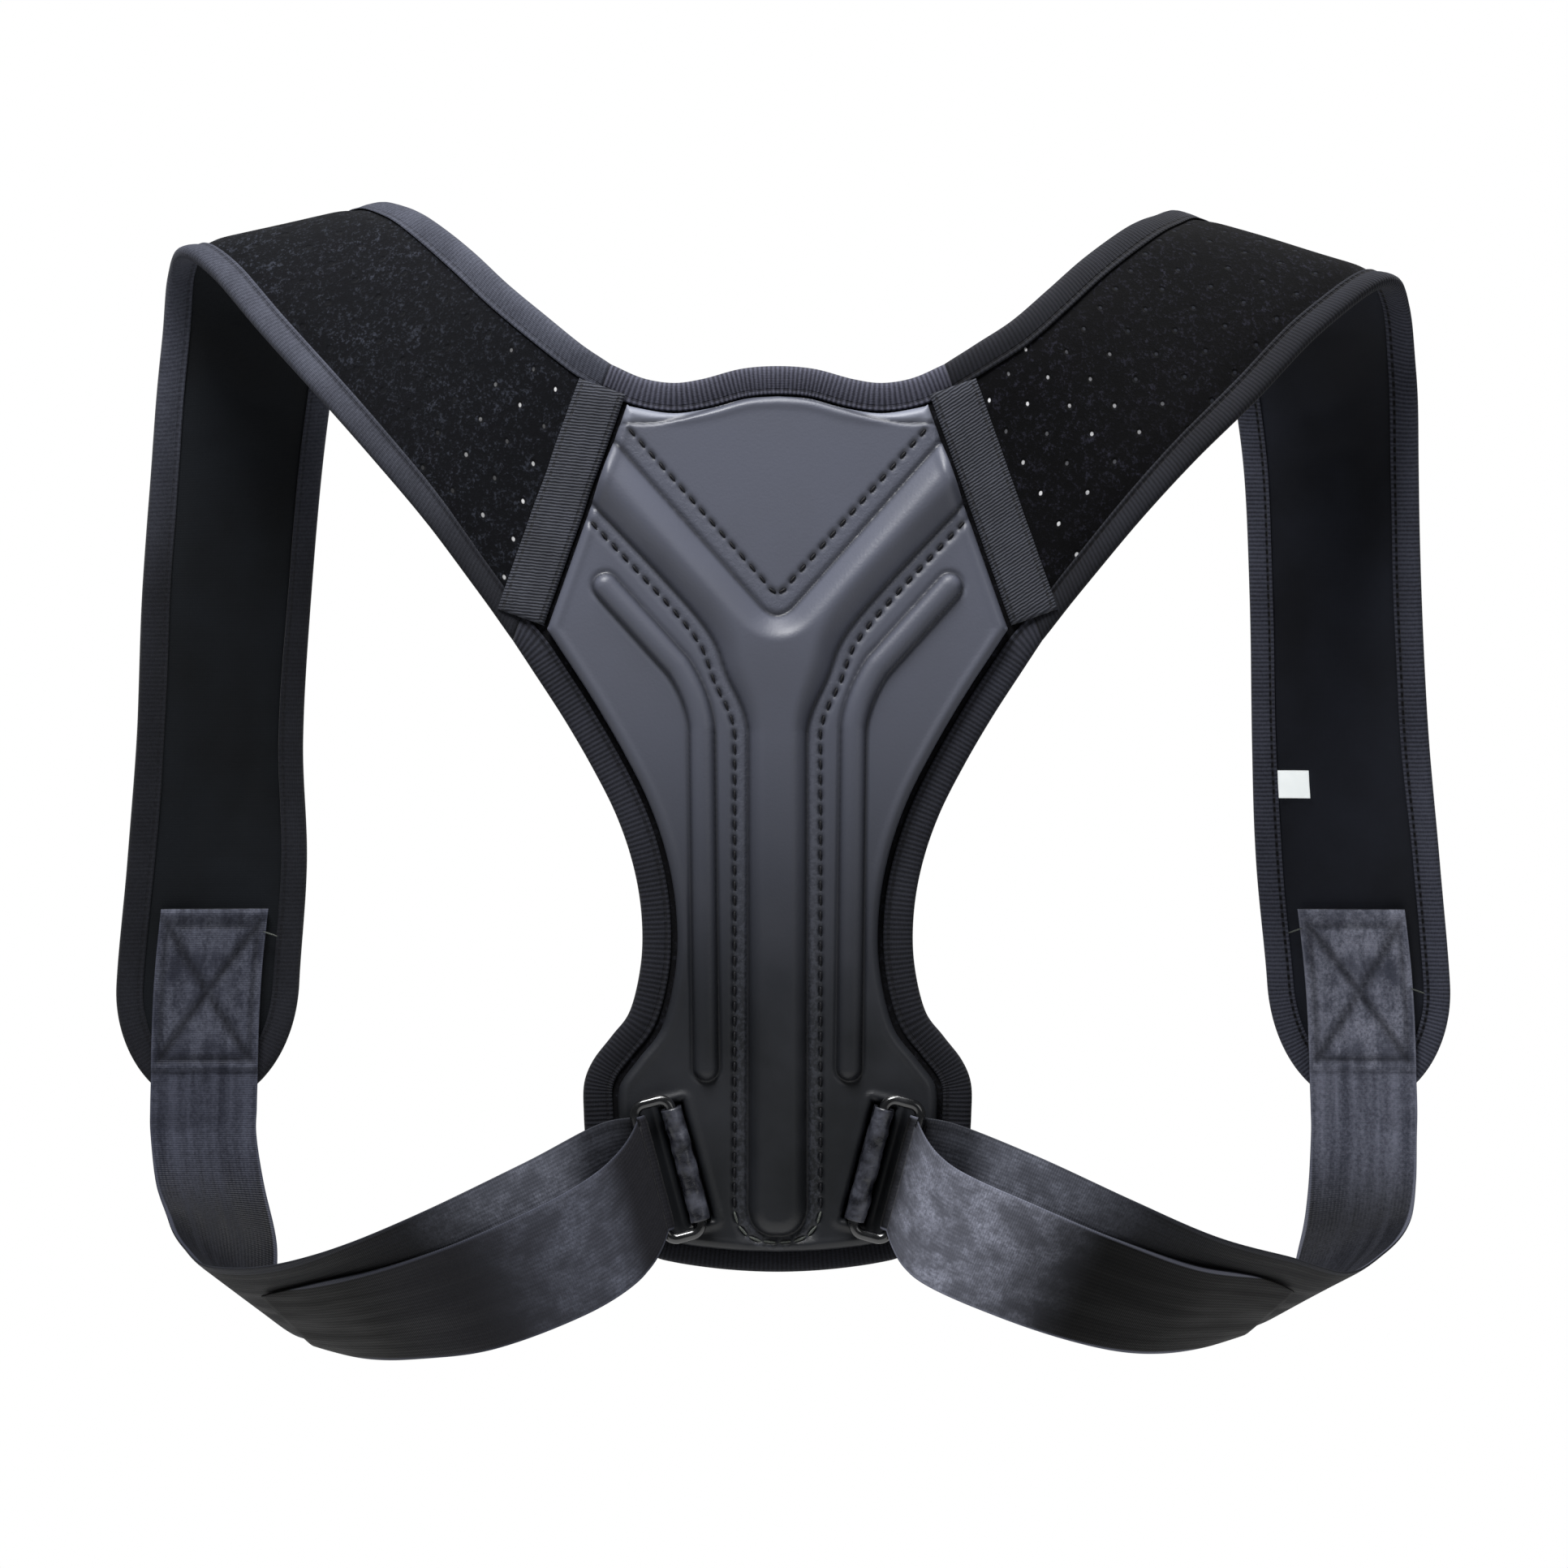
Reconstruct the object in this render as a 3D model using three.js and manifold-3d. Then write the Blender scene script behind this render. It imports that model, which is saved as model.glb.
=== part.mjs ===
// Posture corrector: a padded back panel with a moulded plate, two shoulder pads, and two
// webbing straps that run from the pad ends through rings at the panel's foot.
// Millimetres, +Z up, +Y from the back towards the chest, +X to the right seen from behind.
// The origin lies midway between the two shoulder crests, at the underside of the pads.
import * as THREE from 'three';
import { mergeVertices } from 'three/addons/utils/BufferGeometryUtils.js';
import Module from 'manifold-3d';

const wasm = await Module();
wasm.setup();

// Fit on the body
const SEAM_OUT = 70.4; // middle of the junction seam, out from the centre line
const LEFT_CREST_OUT = 170; // middle of the pad on the shoulder, out from the centre line
const RIGHT_CREST_OUT = 173;
const BACK_DROP = 98; // crest down to the middle of the junction seam
const BACK_DEPTH = 60; // crest back to the panel
const FRONT_DEPTH = 64; // crest forward to the pad end
const FRONT_DROP = 306; // crest down to the pad end
const CREST_ROW = 7; // the row of the pad tables that lies on the shoulder

// Padded parts
const PAD_WIDTH = 72;
const PAD_THICKNESS = 5;
const EDGE_THICKNESS = 2.6; // padding pressed flat under the binding
const EDGE_RAMP = 3; // from the pressed edge up to the full padding
const TONGUE_LENGTH = 44; // rounded end of a pad
const BINDING_WIDTH = 9.5;
const BINDING_THICKNESS = 1;
const SEW_GAP = 0.3; // clearance between pieces that are sewn or rest on each other

// Back panel
const WAIST_HALF = 44.3;
const FLARE_HALF = 63.3;
const PANEL_BOTTOM_DROP = 206; // lower seam corner down to the bottom edge
const NECK_DIP = 6.1; // hollow of the neck edge below the upper seam corner
const TAPE_WIDTH = 16;
const TAPE_THICKNESS = 1;

// Moulded plate
const PLATE_THICKNESS = 4;
const PLATE_CHAMFER = 1.2;
const PLATE_TOP_MARGIN = 10.1;
const PLATE_SIDE_MARGIN = 11.5;
const PLATE_BOTTOM_MARGIN = 7;
const PLATE_TAPE_GAP = 1.6; // plate edge to the edge of the junction tape
const RIB_HEIGHT = 4;
const RIB_CHAMFER = 2.8;
const STEM_WIDTH = 18.4;
const ARM_WIDTH = 18;
const ARM_START = 0.17; // share of the plate's sloping edge above an arm of the Y
const FORK_DROP = 73.9; // plate top down to the inner corner of the fork
const SHOULDER_DROP = 108.9; // plate top down to where the arms have become the stem
const STEM_END_DROP = 272.9; // plate top down to the rounded end of the stem
const SIDE_RIB_WIDTH = 8;
const SIDE_RIB_HEIGHT = 2.6;
const SIDE_RIB_CHAMFER = 1.8;

// Webbing, rings and anchor loops
const WEB_WIDTH = 38;
const WEB_THICKNESS = 1.4;
const WEB_SAG = 66; // lowest point of the strap below the pad end
const WEB_BULGE = 20; // how far the strap stands out behind the ring
const PATCH_LENGTH = 58; // doubled end that is sewn on the pad
const PATCH_SETBACK = 14; // pad end up to the patch
const PATCH_GAP = 0.7; // clearance of the flat patch over the bent pad
const TAIL_LENGTH = 164;
const TAIL_SKEW = 15; // how far the tail slides down beside the strap under it
const TAIL_SKEW_RUN = 8; // distance from the ring over which it does
const TAIL_RETURN = 0.6; // share of the skew that is lost again by the tail's end
const TAIL_GAP = 0.7;
const TAIL_SETTLE = 48; // distance from the ring over which the tail comes down on the strap
const RING_WIRE = 3.6;
const RING_DEPTH = 15.4;
const RING_SIDE_ROOM = 1.6;
const RING_LEAN = 15;
const RING_OUT = 35.4; // ring centre, out from the centre line
const RING_RISE = 34.7; // panel bottom up to the ring centre
const RING_STANDOFF = 5.4; // plate face to the ring's middle plane
const ANCHOR_THICKNESS = 1.2;
const SLOT_ROOM = 0.8;

// Label on the inner face of the right pad
const LABEL_WIDTH = 11.5;
const LABEL_HEIGHT = 10;
const LABEL_THICKNESS = 0.5;
const LABEL_GAP = 0.5; // off the curved pad
const LABEL_ALONG = 0.756; // share of the pad's length from the seam
const LABEL_ASIDE = 0.515; // share of the pad's half width towards the neck edge

// Turns rows of numbers into rows with named columns
function table(names, rows) {
  return rows.map((row) => Object.fromEntries(names.map((name, i) => [name, row[i]])));
}

// Pad sections from the seam over the shoulder to the pad end. out is a share of the way from
// the seam to the crest, depth a share of BACK_DEPTH or FRONT_DEPTH, drop a share of BACK_DROP
// up to the crest and of FRONT_DROP after it, width a share of PAD_WIDTH, and lean and swing
// turn the section in degrees.
const PAD_COLUMNS = ['out', 'depth', 'drop', 'width', 'lean', 'swing'];
const LEFT_PAD = table(PAD_COLUMNS, [
  [0.0, -1.0, 1.0, 1.33, 70.5, 0],
  [0.11, -1.0, 0.88, 1.21, 67, 0],
  [0.25, -0.95, 0.72, 1.09, 60.5, 1],
  [0.405, -0.82, 0.555, 1.015, 53, 2],
  [0.56, -0.63, 0.387, 0.985, 44, 3],
  [0.735, -0.41, 0.208, 0.975, 32, 4],
  [0.88, -0.18, 0.067, 0.985, 19, 2],
  [1.0, 0.04, 0.0, 1.0, 13, 2],
  [1.078, 0.28, 0.015, 0.98, 15, 3],
  [1.148, 0.53, 0.092, 0.9, 12, 11],
  [1.213, 0.72, 0.226, 0.89, 7, 26],
  [1.263, 0.78, 0.401, 0.885, 2, 30],
  [1.296, 0.86, 0.57, 0.85, 0, 25],
  [1.315, 0.94, 0.713, 0.89, 0, 14],
  [1.354, 0.99, 0.856, 0.905, 0, 6],
  [1.368, 1.0, 1.0, 0.905, 0, 4],
]);
const RIGHT_PAD = table(PAD_COLUMNS, [
  [0.0, -1.0, 1.0, 1.33, 70.5, 0],
  [0.115, -1.0, 0.88, 1.21, 66, 0],
  [0.26, -0.95, 0.73, 1.085, 58, 1],
  [0.416, -0.82, 0.565, 1.035, 49.5, 2],
  [0.585, -0.63, 0.395, 1.035, 40, 3],
  [0.757, -0.41, 0.225, 1.03, 30, 4],
  [0.906, -0.18, 0.11, 1.09, 19, 2],
  [1.01, 0.04, 0.065, 1.12, 17, 2],
  [1.096, 0.28, 0.04, 1.07, 19, 3],
  [1.168, 0.53, 0.115, 0.96, 13, 10],
  [1.223, 0.72, 0.235, 0.9, 4, 25],
  [1.247, 0.78, 0.401, 0.9, 2, 30],
  [1.272, 0.86, 0.57, 0.9, 0, 24],
  [1.307, 0.94, 0.713, 0.91, 0, 14],
  [1.35, 0.99, 0.856, 0.905, 0, 6],
  [1.367, 1.0, 1.0, 0.905, 0, 4],
]);

// Free run of the webbing from the pad end to the ring. across and depth are shares of the way
// to the ring, sag a share of WEB_SAG below the straight line, bulge a share of WEB_BULGE, width
// a share of WEB_WIDTH along a section that may lie slanted, and lean and swing are degrees.
const WEB_COLUMNS = ['across', 'depth', 'sag', 'bulge', 'width', 'lean', 'swing'];
const LEFT_WEB = table(WEB_COLUMNS, [
  [0.0, 0.0, 0.155, 0, 1.0, 0, 0],
  [0.018, 0.03, 0.41, 0, 1.02, -1, 0],
  [0.052, 0.1, 0.63, 0, 1.04, -13, 4],
  [0.085, 0.24, 0.84, 0, 1.05, -36, 20],
  [0.16, 0.47, 0.9, 0, 1.12, -46, 31],
  [0.3, 0.7, 0.82, 0.1, 1.1, -55, 34],
  [0.46, 0.88, 0.65, 0.45, 1.02, -61, 27],
  [0.62, 0.96, 0.465, 0.7, 1.0, -65, 13],
  [0.8, 1.0, 0.23, 0.5, 1.0, -67, 0],
  [0.93, 1.0, 0.045, 0.12, 1.0, -72, 0],
]);
const RIGHT_WEB = table(WEB_COLUMNS, [
  [0.0, 0.0, 0.155, 0, 1.0, 0, 0],
  [0.008, 0.03, 0.43, 0, 1.02, -4, 0],
  [0.03, 0.1, 0.64, 0, 1.04, -11, 4],
  [0.085, 0.24, 0.81, 0, 1.0, -25, 22],
  [0.175, 0.47, 0.88, 0, 1.03, -37, 33],
  [0.3, 0.7, 0.77, 0.1, 1.05, -55, 34],
  [0.46, 0.88, 0.62, 0.45, 1.03, -61, 26],
  [0.62, 0.96, 0.42, 0.7, 1.0, -65, 13],
  [0.8, 1.0, 0.19, 0.5, 1.0, -67, 0],
  [0.93, 1.0, 0.035, 0.12, 1.0, -72, 0],
]);

// Edges of the back panel, each for one half. out in the neck edge is a share of the upper seam
// corner's distance, and dip a share of NECK_DIP.
const NECK_EDGE = table(['out', 'dip'], [
  [0.81, 0.74],
  [0.625, 1.0],
  [0.45, 0.79],
  [0.22, 0.25],
]);
const CROWN_DIP = 0.1;
// out is a share of the way from the waist to the lower seam corner, down a share of
// PANEL_BOTTOM_DROP.
const UPPER_SIDE = table(['out', 'down'], [
  [0.855, 0.045],
  [0.61, 0.122],
  [0.39, 0.199],
  [0.2, 0.276],
  [0.07, 0.354],
  [0.005, 0.431],
]);
// out is a share of FLARE_HALF, down a share of PANEL_BOTTOM_DROP.
const LOWER_SIDE = table(['out', 'down'], [
  [0.704, 0.508],
  [0.76, 0.585],
  [0.855, 0.626],
  [0.95, 0.664],
  [0.997, 0.7],
  [1.0, 0.745],
  [0.985, 0.8],
  [0.93, 0.87],
  [0.81, 0.935],
  [0.66, 0.972],
  [0.53, 0.985],
  [0.27, 0.996],
]);

// Centre line of a side rib: out is a share of WAIST_HALF, down a share of STEM_END_DROP.
const SIDE_RIB_LINE = table(['out', 'down'], [
  [1.26, 0.227],
  [0.66, 0.335],
  [0.585, 0.358],
  [0.555, 0.395],
  [0.525, 0.801],
]);

const SIDES = [
  { name: 'left', sign: -1, crestOut: LEFT_CREST_OUT, pad: LEFT_PAD, web: LEFT_WEB },
  { name: 'right', sign: 1, crestOut: RIGHT_CREST_OUT, pad: RIGHT_PAD, web: RIGHT_WEB },
];
const CREST_HEIGHT = PAD_THICKNESS / 2;
const PANEL_Y = -BACK_DEPTH;
const PANEL_BACK_Y = PANEL_Y - PAD_THICKNESS / 2;
const PLATE_BASE_Y = PANEL_BACK_Y - SEW_GAP;
const PLATE_FACE_Y = PLATE_BASE_Y - PLATE_THICKNESS;
const BINDING_HALF = EDGE_THICKNESS / 2 + SEW_GAP + BINDING_THICKNESS;
const EDGE_INSET = BINDING_THICKNESS + SEW_GAP;

const COLOURS = {
  plate: 0x4c4f5c,
  padding: 0x1d1e23,
  binding: 0x33353c,
  tape: 0x373a43,
  webbing: 0x30323a,
  ring: 0x101114,
  anchor: 0x2b2c31,
  label: 0xf0f1f2,
};

function material(colour, roughness, metalness = 0) {
  return new THREE.MeshStandardMaterial({ color: colour, roughness, metalness });
}

// Catmull-Rom value of one column at row position t
function smooth(rows, name, t) {
  const last = rows.length - 1;
  const i = Math.min(Math.floor(t), last - 1);
  const f = t - i;
  const b = rows[i][name];
  const c = rows[i + 1][name];
  const a = i > 0 ? rows[i - 1][name] : 2 * b - c;
  const d = i + 1 < last ? rows[i + 2][name] : 2 * c - b;
  const slope = (c - a) / 2;
  const next = (d - b) / 2;
  return b + slope * f + (3 * (c - b) - 2 * slope - next) * f * f
    + (2 * (b - c) + slope + next) * f * f * f;
}

function vec(x, y, z) {
  return new THREE.Vector3(x, y, z);
}

// Point at a start plus any number of steps, each a direction and a length
function along(start, ...steps) {
  const point = start.clone();
  for (const [direction, length] of steps) point.addScaledVector(direction, length);
  return point;
}

// Width direction of a section, from the arm edge to the neck edge
function widthDirection(sign, lean, swing) {
  const a = THREE.MathUtils.degToRad(lean);
  const b = THREE.MathUtils.degToRad(swing);
  return vec(-sign * Math.cos(a) * Math.cos(b), Math.sin(b), Math.sin(a) * Math.cos(b));
}

// Closed solid through rings of points that all have the same count. A closed loop has no
// caps; otherwise flat is the outline used to fill both ends.
function solidThrough(rings, flat, loop = false) {
  const count = rings[0].length;
  const positions = rings.flat().flatMap((p) => [p.x, p.y, p.z]);
  const index = [];
  const bands = loop ? rings.length : rings.length - 1;
  for (let i = 0; i < bands; i += 1) {
    const here = i * count;
    const next = ((i + 1) % rings.length) * count;
    for (let j = 0; j < count; j += 1) {
      const k = (j + 1) % count;
      index.push(here + j, here + k, next + j, here + k, next + k, next + j);
    }
  }
  if (!loop) {
    const end = (rings.length - 1) * count;
    const turn = THREE.ShapeUtils.area(flat) > 0 ? 1 : -1;
    for (const [a, b, c] of THREE.ShapeUtils.triangulateShape(flat, [])) {
      const [p, q] = turn > 0 ? [b, c] : [c, b];
      index.push(a, q, p, end + a, end + p, end + q);
    }
  }
  const geometry = new THREE.BufferGeometry();
  geometry.setAttribute('position', new THREE.Float32BufferAttribute(positions, 3));
  geometry.setIndex(index);
  if (signedVolume(geometry) < 0) {
    for (let i = 0; i < index.length; i += 3) index.splice(i, 3, index[i], index[i + 2], index[i + 1]);
    geometry.setIndex(index);
  }
  return geometry;
}

function signedVolume(geometry) {
  const p = geometry.getAttribute('position');
  const index = geometry.getIndex().array;
  const [a, b, c] = [vec(0, 0, 0), vec(0, 0, 0), vec(0, 0, 0)];
  let sum = 0;
  for (let i = 0; i < index.length; i += 3) {
    a.fromBufferAttribute(p, index[i]);
    b.fromBufferAttribute(p, index[i + 1]);
    c.fromBufferAttribute(p, index[i + 2]);
    sum += a.dot(b.cross(c));
  }
  return sum / 6;
}

// Boolean work on closed meshes
function toManifold(geometry) {
  const bare = geometry.clone();
  bare.deleteAttribute('normal');
  bare.deleteAttribute('uv');
  const merged = mergeVertices(bare, 1e-4);
  const vertProperties = new Float32Array(merged.getAttribute('position').array);
  const triVerts = new Uint32Array(merged.getIndex().array);
  return new wasm.Manifold(new wasm.Mesh({ numProp: 3, vertProperties, triVerts }));
}

function fromManifold(solid) {
  const mesh = solid.getMesh();
  const geometry = new THREE.BufferGeometry();
  geometry.setAttribute('position', new THREE.Float32BufferAttribute(mesh.vertProperties, 3));
  geometry.setIndex(Array.from(mesh.triVerts));
  return geometry;
}

// Each vertex of a closed flat outline moved inwards, by its own distance on each edge. At a
// turn gentler than this sine, a vertex moves by the mean of its two distances.
const GENTLE_TURN = 0.5;
function inset(points, distances) {
  const count = points.length;
  const turn = THREE.ShapeUtils.area(points) > 0 ? 1 : -1;
  const normal = (i) => {
    const edge = points[(i + 1) % count].clone().sub(points[i]).normalize();
    return new THREE.Vector2(-edge.y * turn, edge.x * turn);
  };
  return points.map((point, i) => {
    const before = (i + count - 1) % count;
    const [m, n] = [normal(before), normal(i)];
    const [d, e] = [distances[before], distances[i]];
    const cross = m.x * n.y - m.y * n.x;
    if (Math.abs(cross) < GENTLE_TURN) {
      const bisector = m.clone().add(n).normalize();
      return point.clone().addScaledVector(bisector, (d + e) / 2 / bisector.dot(m));
    }
    return point.clone().add(new THREE.Vector2((d * n.y - e * m.y) / cross, (e * m.x - d * n.x) / cross));
  });
}

// Flat outlines, given in X and Z, stacked at their own depths
function stack(layers) {
  const rings = layers.map(({ outline, y }) => outline.map((p) => vec(p.x, y, p.y)));
  return solidThrough(rings, layers[0].outline);
}

// Sections of a pad: how many for each row of its table, and the angles of its rounded end
const PAD_STEPS_A_ROW = 2.4;
const TONGUE_ANGLES = [0, 15, 30, 45, 60, 75, 90].map((deg) => THREE.MathUtils.degToRad(deg));

// Surface of a shoulder pad: the place, directions and half width at a length from the seam
function padSurface(side) {
  const reach = side.crestOut - SEAM_OUT;
  const rows = side.pad.map((row, i) => ({
    x: side.sign * (SEAM_OUT + row.out * reach),
    y: row.depth * (row.depth < 0 ? BACK_DEPTH : FRONT_DEPTH),
    z: CREST_HEIGHT - row.drop * (i <= CREST_ROW ? BACK_DROP : FRONT_DROP),
    half: (row.width * PAD_WIDTH) / 2,
    lean: row.lean,
    swing: row.swing,
  }));
  const centre = (t) => vec(smooth(rows, 'x', t), smooth(rows, 'y', t), smooth(rows, 'z', t));
  const STEPS_A_ROW = 12;
  const last = rows.length - 1;
  const lengths = [0];
  for (let i = 1; i <= last * STEPS_A_ROW; i += 1) {
    const step = centre(i / STEPS_A_ROW).distanceTo(centre((i - 1) / STEPS_A_ROW));
    lengths.push(lengths[i - 1] + step);
  }
  const length = lengths[lengths.length - 1];
  const rowAt = (s) => {
    const i = Math.max(1, lengths.findIndex((value) => value >= s - 1e-9));
    return (i - 1 + (s - lengths[i - 1]) / (lengths[i] - lengths[i - 1])) / STEPS_A_ROW;
  };
  const at = (s) => {
    const t = THREE.MathUtils.clamp(rowAt(s), 0, last);
    const ahead = centre(Math.min(t + 0.05, last));
    const tangent = ahead.sub(centre(Math.max(t - 0.05, 0))).normalize();
    const across = widthDirection(side.sign, smooth(rows, 'lean', t), smooth(rows, 'swing', t));
    const out = across.clone().cross(tangent).multiplyScalar(-side.sign).normalize();
    return { centre: centre(t), tangent, across, out, half: smooth(rows, 'half', t) };
  };
  // Lengths of even row steps, so that the sections lie closer where the pad bends more
  const stations = (from, to, stepsPerRow) => {
    const [a, b] = [rowAt(from), rowAt(to)];
    const count = Math.max(1, Math.round((b - a) * stepsPerRow));
    return Array.from({ length: count + 1 }, (_, i) => {
      const t = a + ((b - a) * i) / count;
      const k = Math.min(Math.floor(t * STEPS_A_ROW), lengths.length - 2);
      return lengths[k] + (t * STEPS_A_ROW - k) * (lengths[k + 1] - lengths[k]);
    });
  };
  const tongue = length - TONGUE_LENGTH;
  const straight = stations(SEW_GAP / 2, tongue, PAD_STEPS_A_ROW).slice(0, -1);
  return { at, length, tongue, straight };
}

// Rough distance from a point of the pad to its outline
function edgeDistance(pad, s, u, half) {
  const q = Math.max(0, (s - pad.tongue) / TONGUE_LENGTH);
  return (1 - Math.hypot(q, u / half)) * half;
}

function shoulderPad(pad) {
  const thinWidth = BINDING_WIDTH + SEW_GAP * 3;
  const columns = [0, thinWidth, thinWidth + EDGE_RAMP];
  const limits = [0, 0.55, 0.8];
  const rounded = TONGUE_ANGLES.filter((a) => a < Math.PI / 2 - 0.01).map((a) => ({
    s: pad.tongue + (TONGUE_LENGTH - EDGE_INSET) * Math.sin(a),
    share: Math.cos(a),
  }));
  const sections = [...pad.straight.map((s) => ({ s, share: 1 })), ...rounded];
  const rings = sections.map(({ s, share }) => {
    const here = pad.at(s);
    const body = (here.half - EDGE_INSET) * share;
    const shares = columns.map((d, i) => 1 - Math.min(d / body, limits[i]));
    const us = [...shares.map((f) => -f * body), ...shares.reverse().map((f) => f * body)];
    const point = (u, face) => {
      const rise = (edgeDistance(pad, s, u, here.half) - EDGE_INSET - thinWidth) / EDGE_RAMP;
      const share = THREE.MathUtils.clamp(rise, 0, 1);
      const thickness = THREE.MathUtils.lerp(EDGE_THICKNESS, PAD_THICKNESS, share);
      return along(here.centre, [here.across, u], [here.out, (face * thickness) / 2]);
    };
    return [...us.map((u) => point(u, 1)), ...us.reverse().map((u) => point(u, -1))];
  });
  const count = rings[0].length / 2;
  const flat = rings[0].map((_, i) => (i < count ? [i, 1] : [2 * count - 1 - i, -1]));
  return solidThrough(rings, flat.map(([x, y]) => new THREE.Vector2(x, y)));
}

// Folded binding over an edge: a channel swept along stations with inward and normal directions
function binding(stations) {
  const [w, t, h] = [BINDING_WIDTH, BINDING_THICKNESS, BINDING_HALF];
  const profile = [
    [w, h], [t, h], [0, h / 2], [0, -h / 2], [t, -h], [w, -h],
    [w, t - h], [t, t - h], [t, h - t], [w, h - t],
  ].map(([a, b]) => new THREE.Vector2(a, b));
  const rings = stations.map(({ edge, inward, normal }) => profile.map(
    (p) => along(edge, [inward, p.x], [normal, p.y]),
  ));
  return solidThrough(rings, profile);
}

function padBinding(pad) {
  const side = (s, sign) => {
    const here = pad.at(s);
    const edge = along(here.centre, [here.across, sign * here.half]);
    return { edge, inward: here.across.clone().multiplyScalar(-sign), normal: here.out };
  };
  const half = TONGUE_ANGLES.slice(0, -1).reverse().map((a) => Math.PI - a);
  const arc = [...TONGUE_ANGLES, ...half].map((a) => {
    const here = pad.at(pad.tongue + TONGUE_LENGTH * Math.sin(a));
    const edge = along(here.centre, [here.across, -here.half * Math.cos(a)]);
    const inward = vec(0, 0, 0)
      .addScaledVector(here.tangent, -Math.sin(a) / TONGUE_LENGTH)
      .addScaledVector(here.across, Math.cos(a) / here.half)
      .normalize();
    return { edge, inward, normal: here.out };
  });
  return binding([
    ...pad.straight.map((s) => side(s, -1)),
    ...arc,
    ...[...pad.straight].reverse().map((s) => side(s, 1)),
  ]);
}

// Outline of the back panel in X and Z, with the kind of each edge that starts at a point
function panelOutline(pads) {
  const corner = (pad, sign) => {
    const seam = pad.at(0);
    const p = along(seam.centre, [seam.across, sign * seam.half]);
    return new THREE.Vector2(p.x, p.z);
  };
  const half = (side, pad) => {
    const neck = corner(pad, 1);
    const arm = corner(pad, -1);
    const out = (x) => side.sign * x;
    const upper = (row) => out(WAIST_HALF + row.out * (Math.abs(arm.x) - WAIST_HALF));
    const down = (row) => arm.y - row.down * PANEL_BOTTOM_DROP;
    const neckPoints = NECK_EDGE.map(
      (row) => new THREE.Vector2(row.out * neck.x, neck.y - row.dip * NECK_DIP),
    ).reverse();
    return [
      ...neckPoints.map((point) => ({ point, kind: 'neck' })),
      { point: neck, kind: 'seam' },
      { point: arm, kind: 'side' },
      ...UPPER_SIDE.map((row) => ({ point: new THREE.Vector2(upper(row), down(row)), kind: 'side' })),
      ...LOWER_SIDE.map((row) => ({
        point: new THREE.Vector2(out(row.out * FLARE_HALF), down(row)),
        kind: row.out < 0.7 ? 'bottom' : 'side',
      })),
    ];
  };
  const [left, right] = [0, 1].map((i) => half(SIDES[i], pads[i]));
  const neckY = right.find((entry) => entry.kind === 'seam').point.y;
  const armY = right.find((entry) => entry.kind === 'side').point.y;
  const crown = { point: new THREE.Vector2(0, neckY - CROWN_DIP * NECK_DIP), kind: 'neck' };
  const foot = { point: new THREE.Vector2(0, armY - PANEL_BOTTOM_DROP), kind: 'bottom' };
  // Going round, an edge has the kind of its first point; on the way back up it is shifted by one
  const back = left.map((entry, i) => ({
    point: entry.point,
    kind: i > 0 ? left[i - 1].kind : 'neck',
  })).reverse();
  return [crown, ...right, foot, ...back];
}

function edgeDistances(outline, distances) {
  return outline.map((entry) => distances[entry.kind]);
}

function backPanel(outline) {
  const points = outline.map((entry) => entry.point);
  const ring = (bound) => inset(points, edgeDistances(outline, {
    neck: bound, side: bound, bottom: bound, seam: SEW_GAP / 2,
  }));
  const edge = ring(EDGE_INSET);
  const thin = ring(BINDING_WIDTH + SEW_GAP * 2);
  const core = ring(BINDING_WIDTH + SEW_GAP * 2 + EDGE_RAMP);
  return stack([
    { outline: core, y: PANEL_Y - PAD_THICKNESS / 2 },
    { outline: thin, y: PANEL_Y - EDGE_THICKNESS / 2 },
    { outline: edge, y: PANEL_Y - EDGE_THICKNESS / 2 },
    { outline: edge, y: PANEL_Y + EDGE_THICKNESS / 2 },
    { outline: thin, y: PANEL_Y + EDGE_THICKNESS / 2 },
    { outline: core, y: PANEL_Y + PAD_THICKNESS / 2 },
  ]);
}

// Binding of one run of the panel's edge between two seam corners, in the outline's own order
function panelBinding(run, pads, turn) {
  const normal = vec(0, -1, 0);
  const stations = run.map((point, i) => {
    const before = run[Math.max(i - 1, 0)];
    const after = run[Math.min(i + 1, run.length - 1)];
    const way = after.clone().sub(before).normalize();
    const inward = vec(-way.y * turn, 0, way.x * turn);
    return { edge: vec(point.x, PANEL_Y, point.y), inward, normal };
  });
  // At the seams the channel is cut along the seam, a sewing gap before it
  const ends = [[stations[0], stations[1]], [stations[stations.length - 1], stations[stations.length - 2]]];
  for (const [end, neighbour] of ends) {
    const seam = pads[end.edge.x < 0 ? 0 : 1].at(0);
    const towards = end.edge.clone().sub(seam.centre).dot(seam.across) > 0 ? -1 : 1;
    end.inward = seam.across.clone().multiplyScalar(towards);
    end.edge.addScaledVector(neighbour.edge.clone().sub(end.edge).normalize(), SEW_GAP / 2);
  }
  return binding(stations);
}

// Runs of the panel outline between the seams
function panelRuns(outline) {
  const seams = outline.map((entry, i) => (entry.kind === 'seam' ? i : -1)).filter((i) => i >= 0);
  const [first, second] = seams;
  const points = outline.map((entry) => entry.point);
  const neck = [...points.slice(second + 1), ...points.slice(0, first + 1)];
  const lower = points.slice(first + 1, second + 1);
  return { neck, lower, turn: THREE.ShapeUtils.area(points) > 0 ? 1 : -1 };
}

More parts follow.
